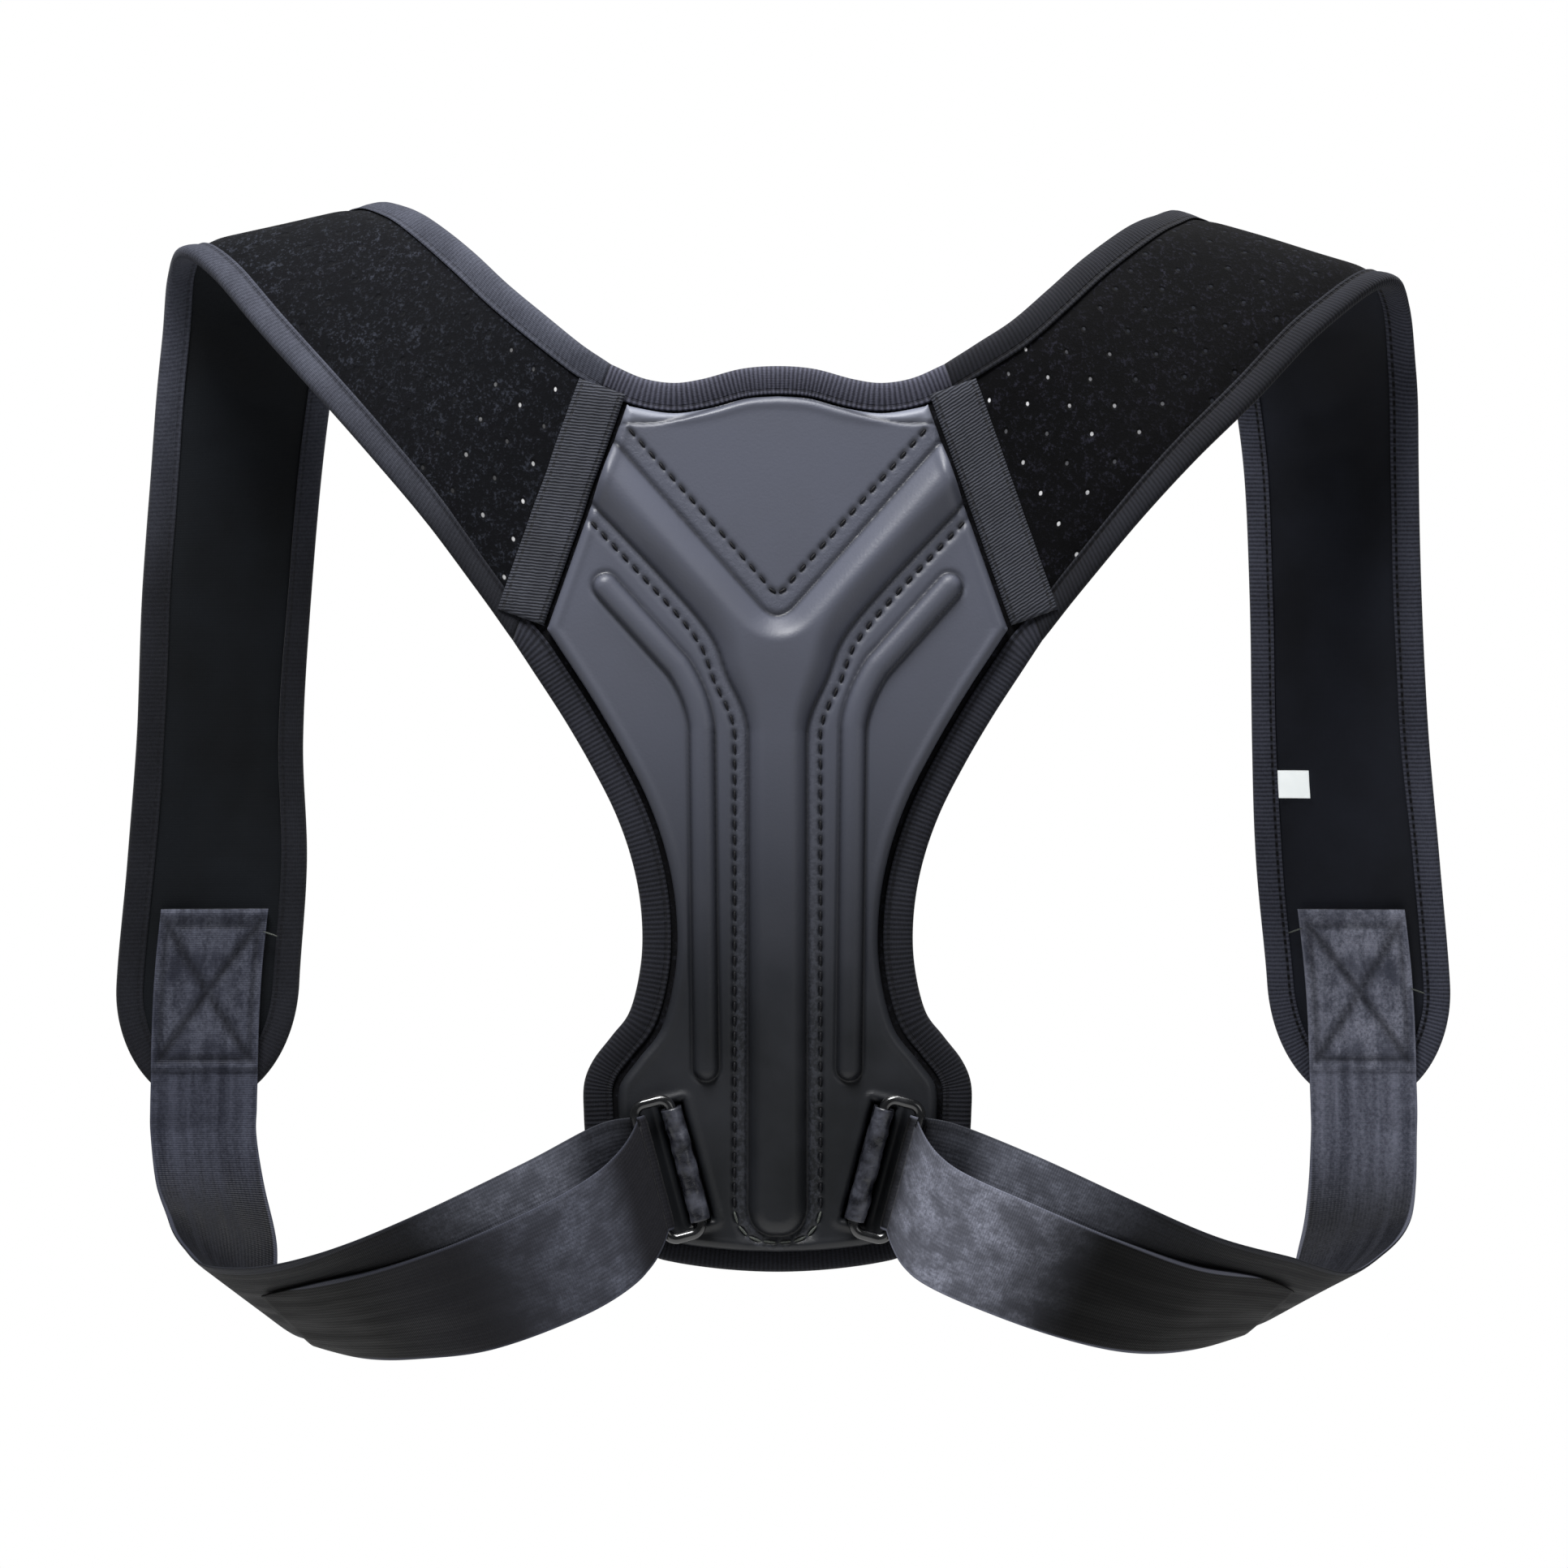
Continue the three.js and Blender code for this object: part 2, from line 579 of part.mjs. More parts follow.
// Diagonal tape over the seam between the panel and a pad
function junctionTape(pad) {
  const seam = pad.at(0);
  const ends = seam.half - BINDING_WIDTH - SEW_GAP * 2;
  const way = new THREE.Vector2(seam.across.x, seam.across.z).normalize();
  const side = new THREE.Vector2(way.y, -way.x);
  const middle = new THREE.Vector2(seam.centre.x, seam.centre.z);
  const outline = [[-1, -1], [1, -1], [1, 1], [-1, 1]].map(([a, b]) => middle.clone()
    .addScaledVector(way, a * ends)
    .addScaledVector(side, (b * TAPE_WIDTH) / 2));
  return stack([
    { outline, y: PANEL_BACK_Y - SEW_GAP },
    { outline, y: PANEL_BACK_Y - SEW_GAP - TAPE_THICKNESS },
  ]);
}

// Raised form on the plate: an outline with a chamfered top
function raised(outline, height, chamfer) {
  const even = outline.map(() => chamfer);
  return toManifold(stack([
    { outline, y: PLATE_FACE_Y + PLATE_THICKNESS / 2 },
    { outline, y: PLATE_FACE_Y - (height - chamfer) },
    { outline: inset(outline, even), y: PLATE_FACE_Y - height },
  ]));
}

function mirrored(half) {
  const other = half.filter((p) => p.x !== 0).map((p) => new THREE.Vector2(-p.x, p.y)).reverse();
  return [...half, ...other];
}

// Outline of the raised Y. Its arms end on the plate's sloping edge, from a corner to a wing.
function forkOutline(top, corner, wing) {
  const stem = STEM_WIDTH / 2;
  const fork = top - FORK_DROP;
  const inner = new THREE.Vector2(ARM_WIDTH * 0.26, fork + ARM_WIDTH * 0.22);
  const upper = corner.clone().lerp(wing, ARM_START);
  const way = upper.clone().sub(inner).normalize();
  const edge = wing.clone().sub(corner).normalize();
  const lower = upper.clone().addScaledVector(edge, ARM_WIDTH / Math.abs(way.cross(edge)));
  const crook = new THREE.Vector2(stem + ARM_WIDTH * 0.88, fork + ARM_WIDTH * 0.06);
  const waist = new THREE.Vector2(stem + ARM_WIDTH * 0.38, fork - ARM_WIDTH * 0.96);
  const join = new THREE.Vector2(stem, top - SHOULDER_DROP);
  const end = top - STEM_END_DROP;
  const round = [0, 30, 60].map((deg) => {
    const a = THREE.MathUtils.degToRad(deg);
    return new THREE.Vector2(stem * Math.cos(a), end + stem - stem * Math.sin(a));
  });
  return mirrored([
    new THREE.Vector2(0, fork), inner, upper, lower, crook, waist, join, ...round,
    new THREE.Vector2(0, end),
  ]);
}

// Capsule of a given width around a line of points
function capsule(line, width) {
  const r = width / 2;
  const sides = line.map((point, i) => {
    const before = line[Math.max(i - 1, 0)];
    const after = line[Math.min(i + 1, line.length - 1)];
    const way = after.clone().sub(before).normalize();
    return { point, way, side: new THREE.Vector2(way.y, -way.x) };
  });
  const cap = ({ point, way, side }, sign) => [60, 30, 0, -30, -60].map((deg) => {
    const a = THREE.MathUtils.degToRad(deg);
    return point.clone()
      .addScaledVector(way, sign * r * Math.cos(a))
      .addScaledVector(side, sign * r * Math.sin(a));
  });
  return [
    ...sides.map(({ point, side }) => point.clone().addScaledVector(side, r)),
    ...cap(sides[sides.length - 1], 1),
    ...sides.map(({ point, side }) => point.clone().addScaledVector(side, -r)).reverse(),
    ...cap(sides[0], -1),
  ];
}

// Frame of a ring: its centre, the directions along and across it, and the middles of its bars
function ringFrame(side, panelBottom) {
  const a = THREE.MathUtils.degToRad(RING_LEAN);
  const centre = vec(side.sign * RING_OUT, PLATE_FACE_Y - RING_STANDOFF, panelBottom + RING_RISE);
  const down = vec(-side.sign * Math.sin(a), 0, -Math.cos(a));
  const inward = vec(-side.sign * Math.cos(a), 0, Math.sin(a));
  const pitch = RING_DEPTH - RING_WIRE;
  const length = WEB_WIDTH + 2 * RING_SIDE_ROOM + RING_WIRE;
  return {
    centre, down, inward, pitch, length,
    outerBar: along(centre, [inward, -pitch / 2]),
    innerBar: along(centre, [inward, pitch / 2]),
  };
}

// Slot in the plate under a ring's inner bar, as a block to be cut away
function slotBlock(frame) {
  const half = ANCHOR_THICKNESS + RING_WIRE / 2 + SEW_GAP + SLOT_ROOM;
  const block = new THREE.BoxGeometry(2 * half, 4 * PLATE_THICKNESS, WEB_WIDTH + 2 * SLOT_ROOM);
  block.applyMatrix4(new THREE.Matrix4().makeBasis(
    frame.inward, vec(0, 1, 0), frame.inward.clone().cross(vec(0, 1, 0)),
  ));
  block.translate(frame.innerBar.x, PLATE_BASE_Y, frame.innerBar.z);
  return toManifold(block);
}

function mouldedPlate(outline, frames) {
  const points = outline.map((entry) => entry.point);
  const edge = inset(points, edgeDistances(outline, {
    neck: PLATE_TOP_MARGIN,
    side: PLATE_SIDE_MARGIN,
    bottom: PLATE_BOTTOM_MARGIN,
    seam: TAPE_WIDTH / 2 + PLATE_TAPE_GAP,
  }));
  const top = edge[0].y;
  const bevelled = inset(edge, edge.map(() => PLATE_CHAMFER));
  let solid = toManifold(stack([
    { outline: edge, y: PLATE_BASE_Y },
    { outline: edge, y: PLATE_FACE_Y + PLATE_CHAMFER },
    { outline: bevelled, y: PLATE_FACE_Y },
  ]));
  const seamIndex = outline.findIndex((entry) => entry.kind === 'seam');
  const [corner, wing] = [bevelled[seamIndex], bevelled[seamIndex + 1]];
  solid = solid.add(raised(forkOutline(top, corner, wing), RIB_HEIGHT, RIB_CHAMFER));
  for (const { sign } of SIDES) {
    const line = SIDE_RIB_LINE.map(
      (row) => new THREE.Vector2(sign * row.out * WAIST_HALF, top - row.down * STEM_END_DROP),
    );
    solid = solid.add(raised(capsule(line, SIDE_RIB_WIDTH), SIDE_RIB_HEIGHT, SIDE_RIB_CHAMFER));
  }
  for (const frame of frames) solid = solid.subtract(slotBlock(frame));
  return fromManifold(solid);
}

// Rounded rectangular ring of round wire
function ring(frame) {
  const WIRE_SIDES = 8;
  const CORNER_STEPS = 3;
  const r = RING_WIRE;
  const [a, b] = [frame.length / 2 - r, frame.pitch / 2 - r];
  const rings = [];
  [[1, 1, 0], [-1, 1, 90], [-1, -1, 180], [1, -1, 270]].forEach(([sx, sy, start]) => {
    for (let i = 0; i <= CORNER_STEPS; i += 1) {
      const turn = THREE.MathUtils.degToRad(start + (90 * i) / CORNER_STEPS);
      const radial = vec(0, 0, 0)
        .addScaledVector(frame.down, Math.cos(turn))
        .addScaledVector(frame.inward, Math.sin(turn));
      const centre = along(frame.centre, [frame.down, sx * a], [frame.inward, sy * b], [radial, r]);
      rings.push(Array.from({ length: WIRE_SIDES }, (_, k) => {
        const angle = (2 * Math.PI * k) / WIRE_SIDES;
        return along(
          centre,
          [radial, (RING_WIRE / 2) * Math.cos(angle)],
          [vec(0, 1, 0), (RING_WIRE / 2) * Math.sin(angle)],
        );
      }));
    }
  });
  return solidThrough(rings, null, true);
}

// Loop of material out of the slot, round the inner bar and back: a U along the bar's length
function anchorLoop(frame) {
  const inner = RING_WIRE / 2 + SEW_GAP;
  const outer = inner + ANCHOR_THICKNESS;
  const foot = PANEL_BACK_Y - SEW_GAP;
  const angles = [0, 36, 72, 108, 144, 180].map((deg) => THREE.MathUtils.degToRad(deg));
  const bend = (r) => angles.map((a) => [r * Math.cos(a), frame.centre.y - r * Math.sin(a)]);
  const profile = [
    [outer, foot], ...bend(outer), [-outer, foot],
    [-inner, foot], ...bend(inner).reverse(), [inner, foot],
  ].map(([x, y]) => new THREE.Vector2(x, y));
  const width = WEB_WIDTH;
  const rings = [-width / 2, width / 2].map((d) => profile.map((p) => {
    const point = along(frame.innerBar, [frame.down, d], [frame.inward, p.x]);
    point.y = p.y;
    return point;
  }));
  return solidThrough(rings, profile);
}

// Spans of the webbing's table on the patch, and fine steps in every span
const PATCH_SPANS = 3;
const WEB_STEPS = 3;

// Stations of the webbing: from the patch on the pad, through the free run, to the ring's bar
function webbingStations(side, pad, frame) {
  const lift = BINDING_HALF + PATCH_GAP + WEB_THICKNESS / 2;
  const half = WEB_WIDTH / 2;
  const top = pad.length - PATCH_SETBACK - PATCH_LENGTH;
  const patch = [0, 1, 2, 3].map((i) => top + (PATCH_LENGTH * i) / PATCH_SPANS);
  const sewn = [...patch, pad.length].map((s) => {
    const here = pad.at(s);
    return { place: along(here.centre, [here.out, -lift]), across: here.across, half };
  });
  const start = sewn[sewn.length - 1].place;
  const wrap = RING_WIRE / 2 + SEW_GAP + WEB_THICKNESS / 2;
  const behindBar = along(frame.outerBar, [vec(0, 1, 0), wrap]);
  const free = side.web.map((row) => {
    const place = vec(
      THREE.MathUtils.lerp(start.x, behindBar.x, row.across),
      THREE.MathUtils.lerp(start.y, behindBar.y, row.depth) - row.bulge * WEB_BULGE,
      THREE.MathUtils.lerp(start.z, behindBar.z, row.across) - row.sag * WEB_SAG,
    );
    const across = widthDirection(side.sign, row.lean, row.swing);
    return { place, across, half: row.width * half };
  });
  return [...sewn, ...free, { place: behindBar, across: frame.down.clone(), half }];
}

// The same stations at even fine steps, with the outward direction at each
function fineStations(side, stations) {
  const places = new THREE.CatmullRomCurve3(stations.map((s) => s.place), false, 'catmullrom');
  const ways = new THREE.CatmullRomCurve3(stations.map((s) => s.across), false, 'catmullrom');
  const count = (stations.length - 1) * WEB_STEPS;
  return Array.from({ length: count + 1 }, (_, i) => {
    const f = i / count;
    const across = ways.getPoint(f).normalize();
    const out = across.clone().cross(places.getTangent(f)).multiplyScalar(-side.sign).normalize();
    const half = smooth(stations, 'half', (i / count) * (stations.length - 1));
    return { place: places.getPoint(f), across, out, half, layers: 1 };
  });
}

// Outer section of the webbing: flat, with extra layers on the inner side
function webbingRing({ place, across, out, half, layers }) {
  const t = WEB_THICKNESS;
  const corners = [[-half, t / 2], [half, t / 2], [half, t / 2 - layers * t], [-half, t / 2 - layers * t]];
  return corners.map(([u, h]) => along(place, [across, u], [out, h]));
}

function webbing(side, pad, frame) {
  const fine = fineStations(side, webbingStations(side, pad, frame));
  const patchEnd = PATCH_SPANS * WEB_STEPS;
  const doubled = fine.slice(0, patchEnd + 1).map((s) => ({ ...s, layers: 2 }));
  const step = WEB_THICKNESS / fine[patchEnd].place.distanceTo(fine[patchEnd + 1].place);
  const stepped = fine[patchEnd].place.clone().lerp(fine[patchEnd + 1].place, step);
  const run = [{ ...fine[patchEnd], place: stepped }, ...fine.slice(patchEnd + 1)];
  const wrap = RING_WIRE / 2 + SEW_GAP + WEB_THICKNESS / 2;
  const turn = [30, 60, 90, 120, 150].map((deg) => {
    const a = THREE.MathUtils.degToRad(deg);
    const outwards = vec(0, -Math.cos(a), 0).addScaledVector(frame.inward, -Math.sin(a));
    const place = along(frame.outerBar, [outwards, -wrap]);
    return { place, across: frame.down, out: outwards, half: WEB_WIDTH / 2, layers: 1 };
  });
  // The tail lies on the outer side of the run and slides down along the section
  const tail = [];
  let distance = 0;
  for (let i = run.length - 1; i >= 0 && distance <= TAIL_LENGTH; i -= 1) {
    if (i < run.length - 1) distance += run[i].place.distanceTo(run[i + 1].place);
    const settle = THREE.MathUtils.smoothstep(distance, 0, TAIL_SETTLE);
    const lift = THREE.MathUtils.lerp(2 * wrap, WEB_THICKNESS + TAIL_GAP, settle);
    const kept = 1 - TAIL_RETURN * (distance / TAIL_LENGTH) ** 2;
    const skew = TAIL_SKEW * (1 - Math.exp(-distance / TAIL_SKEW_RUN)) * kept;
    const place = along(run[i].place, [run[i].out, lift], [run[i].across, skew]);
    const out = run[i].out.clone().negate();
    tail.push({ ...run[i], place, out });
  }
  const rings = [
    ...doubled.map(webbingRing),
    ...run.map(webbingRing),
    ...turn.map(webbingRing),
    ...tail.map(webbingRing),
  ];
  const flat = [[-1, 1], [1, 1], [1, -1], [-1, -1]].map(([x, y]) => new THREE.Vector2(x, y));
  return solidThrough(rings, flat);
}

function careLabel(pad) {
  const here = pad.at(pad.length * LABEL_ALONG);
  const place = along(here.centre, [here.across, here.half * LABEL_ASIDE]);
  const lift = PAD_THICKNESS / 2 + LABEL_GAP;
  const corners = [[-1, -1], [1, -1], [1, 1], [-1, 1]];
  const rings = [lift, lift + LABEL_THICKNESS].map((h) => corners.map(([a, b]) => along(
    place,
    [here.across, (a * LABEL_WIDTH) / 2],
    [here.tangent, (b * LABEL_HEIGHT) / 2],
    [here.out, -h],
  )));
  return solidThrough(rings, corners.map(([x, y]) => new THREE.Vector2(x, y)));
}

function build() {
  const group = new THREE.Group();
  const add = (name, geometry, look) => {
    geometry.computeVertexNormals();
    const mesh = new THREE.Mesh(geometry, look);
    mesh.name = name;
    group.add(mesh);
  };
  const pads = SIDES.map(padSurface);
  const outline = panelOutline(pads);
  const bottom = Math.min(...outline.map((entry) => entry.point.y));
  const frames = SIDES.map((side) => ringFrame(side, bottom));
  const runs = panelRuns(outline);
  add('back_panel', backPanel(outline), material(COLOURS.padding, 0.95));
  add('moulded_plate', mouldedPlate(outline, frames), material(COLOURS.plate, 0.5));
  add('neck_binding', panelBinding(runs.neck, pads, runs.turn), material(COLOURS.binding, 0.85));
  add('waist_binding', panelBinding(runs.lower, pads, runs.turn), material(COLOURS.binding, 0.85));
  SIDES.forEach((side, i) => {
    const [pad, frame] = [pads[i], frames[i]];
    add(`shoulder_pad_${side.name}`, shoulderPad(pad), material(COLOURS.padding, 0.95));
    add(`pad_binding_${side.name}`, padBinding(pad), material(COLOURS.binding, 0.85));
    add(`junction_tape_${side.name}`, junctionTape(pad), material(COLOURS.tape, 0.8));
    add(`webbing_${side.name}`, webbing(side, pad, frame), material(COLOURS.webbing, 0.6));
    add(`ring_${side.name}`, ring(frame), material(COLOURS.ring, 0.15));
    add(`anchor_loop_${side.name}`, anchorLoop(frame), material(COLOURS.anchor, 0.3));
  });
  add('care_label', careLabel(pads[1]), material(COLOURS.label, 0.7));
  return group;
}

export default build();
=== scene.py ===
"""Looks of the posture corrector: sewn pads, bindings, moulded plate, webbing and rings, each
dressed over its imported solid. Shapes are worked out in millimetres from the same named sizes as
the solids, and turned into metres when a mesh is made."""

import math

import bpy
import numpy as np
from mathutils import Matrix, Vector, noise


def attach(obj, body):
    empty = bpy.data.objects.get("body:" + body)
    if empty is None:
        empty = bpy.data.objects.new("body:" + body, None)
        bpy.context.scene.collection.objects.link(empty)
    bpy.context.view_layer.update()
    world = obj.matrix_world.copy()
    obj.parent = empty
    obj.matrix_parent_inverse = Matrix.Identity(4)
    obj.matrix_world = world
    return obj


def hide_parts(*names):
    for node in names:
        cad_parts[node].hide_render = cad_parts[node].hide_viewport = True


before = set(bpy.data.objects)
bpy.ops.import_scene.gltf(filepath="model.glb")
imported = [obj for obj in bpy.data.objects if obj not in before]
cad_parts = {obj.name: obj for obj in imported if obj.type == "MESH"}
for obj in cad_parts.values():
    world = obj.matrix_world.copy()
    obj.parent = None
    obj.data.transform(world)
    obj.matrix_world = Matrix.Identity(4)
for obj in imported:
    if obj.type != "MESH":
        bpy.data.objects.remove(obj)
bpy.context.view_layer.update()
MM = 0.001

# Named sizes of the solids
SEAM_OUT = 70.4
BACK_DROP = 98
BACK_DEPTH = 60
FRONT_DEPTH = 64
FRONT_DROP = 306
CREST_ROW = 7
PAD_WIDTH = 72
PAD_THICKNESS = 5
EDGE_THICKNESS = 2.6
TONGUE_LENGTH = 44
BINDING_WIDTH = 9.5
BINDING_THICKNESS = 1
SEW_GAP = 0.3
WAIST_HALF = 44.3
FLARE_HALF = 63.3
PANEL_BOTTOM_DROP = 206
NECK_DIP = 6.1
CROWN_DIP = 0.1
TAPE_WIDTH = 16
PLATE_THICKNESS = 4
PLATE_TOP_MARGIN = 10.1
PLATE_SIDE_MARGIN = 11.5
PLATE_BOTTOM_MARGIN = 7
PLATE_TAPE_GAP = 1.6
RIB_HEIGHT = 4
STEM_WIDTH = 18.4
ARM_WIDTH = 18
ARM_START = 0.17
FORK_DROP = 73.9
SHOULDER_DROP = 108.9
STEM_END_DROP = 272.9
V_STITCH_SETBACK = 6.6
LONG_STITCH_SETBACK = 4.8
FOOT_STITCH_SETBACK = 2.2
STITCH_PITCH = 4.9
SIDE_RIB_WIDTH = 8
SIDE_RIB_HEIGHT = 2.6
WEB_WIDTH = 38
WEB_THICKNESS = 1.4
WEB_SAG = 66
WEB_BULGE = 20
PATCH_LENGTH = 58
PATCH_SETBACK = 14
PATCH_GAP = 0.7
PATCH_SPANS = 3
TAIL_LENGTH = 164
TAIL_SKEW = 15
TAIL_SKEW_RUN = 8
TAIL_RETURN = 0.6
TAIL_GAP = 0.7
TAIL_SETTLE = 48
RING_WIRE = 3.6
RING_DEPTH = 15.4
RING_SIDE_ROOM = 1.6
RING_LEAN = 15
RING_OUT = 35.4
RING_RISE = 34.7
RING_STANDOFF = 5.4
ANCHOR_THICKNESS = 1.2
SLOT_ROOM = 0.8
# End of a tail: how far from its tip it narrows, by how much of its width, and millimetres moved down
TAIL_TIPS = {"left": (52, 0.3, 0.6), "right": (48, 0.3, 0.6)}
# Loose thread ends of a patch: millimetres below its top, and the side of the strap
THREAD_ENDS = {"left": [(9, -1)], "right": [(8, -1), (30, 0)]}
LABEL_WIDTH = 11.5
LABEL_HEIGHT = 10
LABEL_ALONG = 0.756
LABEL_ASIDE = 0.515
CREST_HEIGHT = PAD_THICKNESS / 2
PANEL_Y = -BACK_DEPTH
PANEL_BACK_Y = PANEL_Y - PAD_THICKNESS / 2
PLATE_BASE_Y = PANEL_BACK_Y - SEW_GAP
PLATE_FACE_Y = PLATE_BASE_Y - PLATE_THICKNESS
BINDING_HALF = EDGE_THICKNESS / 2 + SEW_GAP + BINDING_THICKNESS
EDGE_INSET = BINDING_THICKNESS + SEW_GAP

# Named sizes of what only the looks have
SEWN_IN = BINDING_WIDTH - EDGE_INSET
OUTER_PUFF = 0.9
INNER_PUFF = 0.6
PATCH_PUFF = 0.15
HOLE_PITCH = 12
PLATE_ROUND = 2.4
STITCH_LENGTH = 2.7
FOOT_STITCH_LENGTH = 4.1
STITCH_RADIUS = 0.42
STITCH_SINK = 0.75
HEM = 6
BOX_MARGIN = 3
BOX_END = 3.4
THREAD_END_LENGTH = 5.5
THREAD_END_RADIUS = 0.3
PLATE_GRID = (390, 210)
PANEL_GRID = (96, 52)
FLOOR_HALF = 1400
FLOOR_Z = -760
CAMERA_LENS = 84.38
CAMERA_PLACE = (0.0021, -1.26, -0.1874)
CLOTH_FRAMES = 20
CLOTH = {
    "quality": 6, "mass": 0.2, "tension_stiffness": 12, "compression_stiffness": 12, "shear_stiffness": 6,
    "bending_stiffness": 1.0, "air_damping": 4, "use_pressure": True, "uniform_pressure_force": 3.0,
    "shrink_min": 0, "vertex_group_mass": "sewn",
}

# Pad sections: out, depth, drop and width as shares of the named sizes, lean and swing in degrees
LEFT_PAD = [
    (0.0, -1.0, 1.0, 1.33, 70.5, 0), (0.11, -1.0, 0.88, 1.21, 67, 0),
    (0.25, -0.95, 0.72, 1.09, 60.5, 1), (0.405, -0.82, 0.555, 1.015, 53, 2),
    (0.56, -0.63, 0.387, 0.985, 44, 3), (0.735, -0.41, 0.208, 0.975, 32, 4),
    (0.88, -0.18, 0.067, 0.985, 19, 2), (1.0, 0.04, 0.0, 1.0, 13, 2),
    (1.078, 0.28, 0.015, 0.98, 15, 3), (1.148, 0.53, 0.092, 0.9, 12, 11),
    (1.213, 0.72, 0.226, 0.89, 7, 26), (1.263, 0.78, 0.401, 0.885, 2, 30),
    (1.296, 0.86, 0.57, 0.85, 0, 25), (1.315, 0.94, 0.713, 0.89, 0, 14),
    (1.354, 0.99, 0.856, 0.905, 0, 6), (1.368, 1.0, 1.0, 0.905, 0, 4),
]
RIGHT_PAD = [
    (0.0, -1.0, 1.0, 1.33, 70.5, 0), (0.115, -1.0, 0.88, 1.21, 66, 0),
    (0.26, -0.95, 0.73, 1.085, 58, 1), (0.416, -0.82, 0.565, 1.035, 49.5, 2),
    (0.585, -0.63, 0.395, 1.035, 40, 3), (0.757, -0.41, 0.225, 1.03, 30, 4),
    (0.906, -0.18, 0.11, 1.09, 19, 2), (1.01, 0.04, 0.065, 1.12, 17, 2),
    (1.096, 0.28, 0.04, 1.07, 19, 3), (1.168, 0.53, 0.115, 0.96, 13, 10),
    (1.223, 0.72, 0.235, 0.9, 4, 25), (1.247, 0.78, 0.401, 0.9, 2, 30),
    (1.272, 0.86, 0.57, 0.9, 0, 24), (1.307, 0.94, 0.713, 0.91, 0, 14),
    (1.35, 0.99, 0.856, 0.905, 0, 6), (1.367, 1.0, 1.0, 0.905, 0, 4),
]
# Free run of the webbing: across, depth, sag, bulge and width as shares, lean and swing in degrees
LEFT_WEB = [
    (0.0, 0.0, 0.155, 0, 1.0, 0, 0), (0.018, 0.03, 0.41, 0, 1.02, -1, 0),
    (0.052, 0.1, 0.63, 0, 1.04, -13, 4), (0.085, 0.24, 0.84, 0, 1.05, -36, 20),
    (0.16, 0.47, 0.9, 0, 1.12, -46, 31), (0.3, 0.7, 0.82, 0.1, 1.1, -55, 34),
    (0.46, 0.88, 0.65, 0.45, 1.02, -61, 27), (0.62, 0.96, 0.465, 0.7, 1.0, -65, 13),
    (0.8, 1.0, 0.23, 0.5, 1.0, -67, 0), (0.93, 1.0, 0.045, 0.12, 1.0, -72, 0),
]
RIGHT_WEB = [
    (0.0, 0.0, 0.155, 0, 1.0, 0, 0), (0.008, 0.03, 0.43, 0, 1.02, -4, 0),
    (0.03, 0.1, 0.64, 0, 1.04, -11, 4), (0.085, 0.24, 0.81, 0, 1.0, -25, 22),
    (0.175, 0.47, 0.88, 0, 1.03, -37, 33), (0.3, 0.7, 0.77, 0.1, 1.05, -55, 34),
    (0.46, 0.88, 0.62, 0.45, 1.03, -61, 26), (0.62, 0.96, 0.42, 0.7, 1.0, -65, 13),
    (0.8, 1.0, 0.19, 0.5, 1.0, -67, 0), (0.93, 1.0, 0.045, 0.12, 1.0, -72, 0),
]
NECK_EDGE = [(0.81, 0.74), (0.625, 1.0), (0.45, 0.79), (0.22, 0.25)]
UPPER_SIDE = [(0.855, 0.045), (0.61, 0.122), (0.39, 0.199), (0.2, 0.276), (0.07, 0.354), (0.005, 0.431)]
LOWER_SIDE = [
    (0.704, 0.508), (0.76, 0.585), (0.855, 0.626), (0.95, 0.664), (0.997, 0.7), (1.0, 0.745),
    (0.985, 0.8), (0.93, 0.87), (0.81, 0.935), (0.66, 0.972), (0.53, 0.985), (0.27, 0.996),
]
SIDE_RIB_LINE = [(1.26, 0.227), (0.66, 0.335), (0.585, 0.358), (0.555, 0.395), (0.525, 0.801)]
SIDES = [
    {"name": "left", "sign": -1, "crest_out": 170, "pad": LEFT_PAD, "web": LEFT_WEB},
    {"name": "right", "sign": 1, "crest_out": 173, "pad": RIGHT_PAD, "web": RIGHT_WEB},
]


# Numbers
def smooth(column, t):
    """Catmull-Rom values of a column at row positions t."""
    column = np.asarray(column, float)
    t = np.asarray(t, float)
    last = len(column) - 1
    i = np.clip(np.floor(t).astype(int), 0, last - 1)
    f = t - i
    b, c = column[i], column[i + 1]
    a = np.where(i > 0, column[np.maximum(i - 1, 0)], 2 * b - c)
    d = np.where(i + 1 < last, column[np.minimum(i + 2, last)], 2 * c - b)
    slope, after = (c - a) / 2, (d - b) / 2
    return b + slope * f + (3 * (c - b) - 2 * slope - after) * f**2 + (2 * (b - c) + slope + after) * f**3


def smooth_rows(points, t):
    points = np.asarray(points, float)
    return np.stack([smooth(points[:, k], t) for k in range(points.shape[1])], -1)


def unit(v):
    return v / np.linalg.norm(v, axis=-1, keepdims=True)


def step(x, a, b):
    """Smooth 0 to 1 as x goes from a to b."""
    f = np.clip((x - a) / (b - a), 0, 1)
    return f * f * (3 - 2 * f)


def width_direction(sign, lean, swing):
    a, b = np.radians(lean), np.radians(swing)
    return np.stack([-sign * np.cos(a) * np.cos(b), np.sin(b), np.sin(a) * np.cos(b)], -1)


def ripples(points, scale, seed=0.0):
    """Soft noise from -1 to 1 at points in millimetres, with waves about scale long."""
    flat = points.reshape(-1, 3) / scale + seed
    values = [noise.noise(Vector(p)) for p in flat.tolist()]
    return np.array(values).reshape(points.shape[:-1])


def run_length(points):
    """Distance along a line at each of its points."""
    return np.r_[0, np.cumsum(np.linalg.norm(np.diff(points, axis=0), axis=1))]


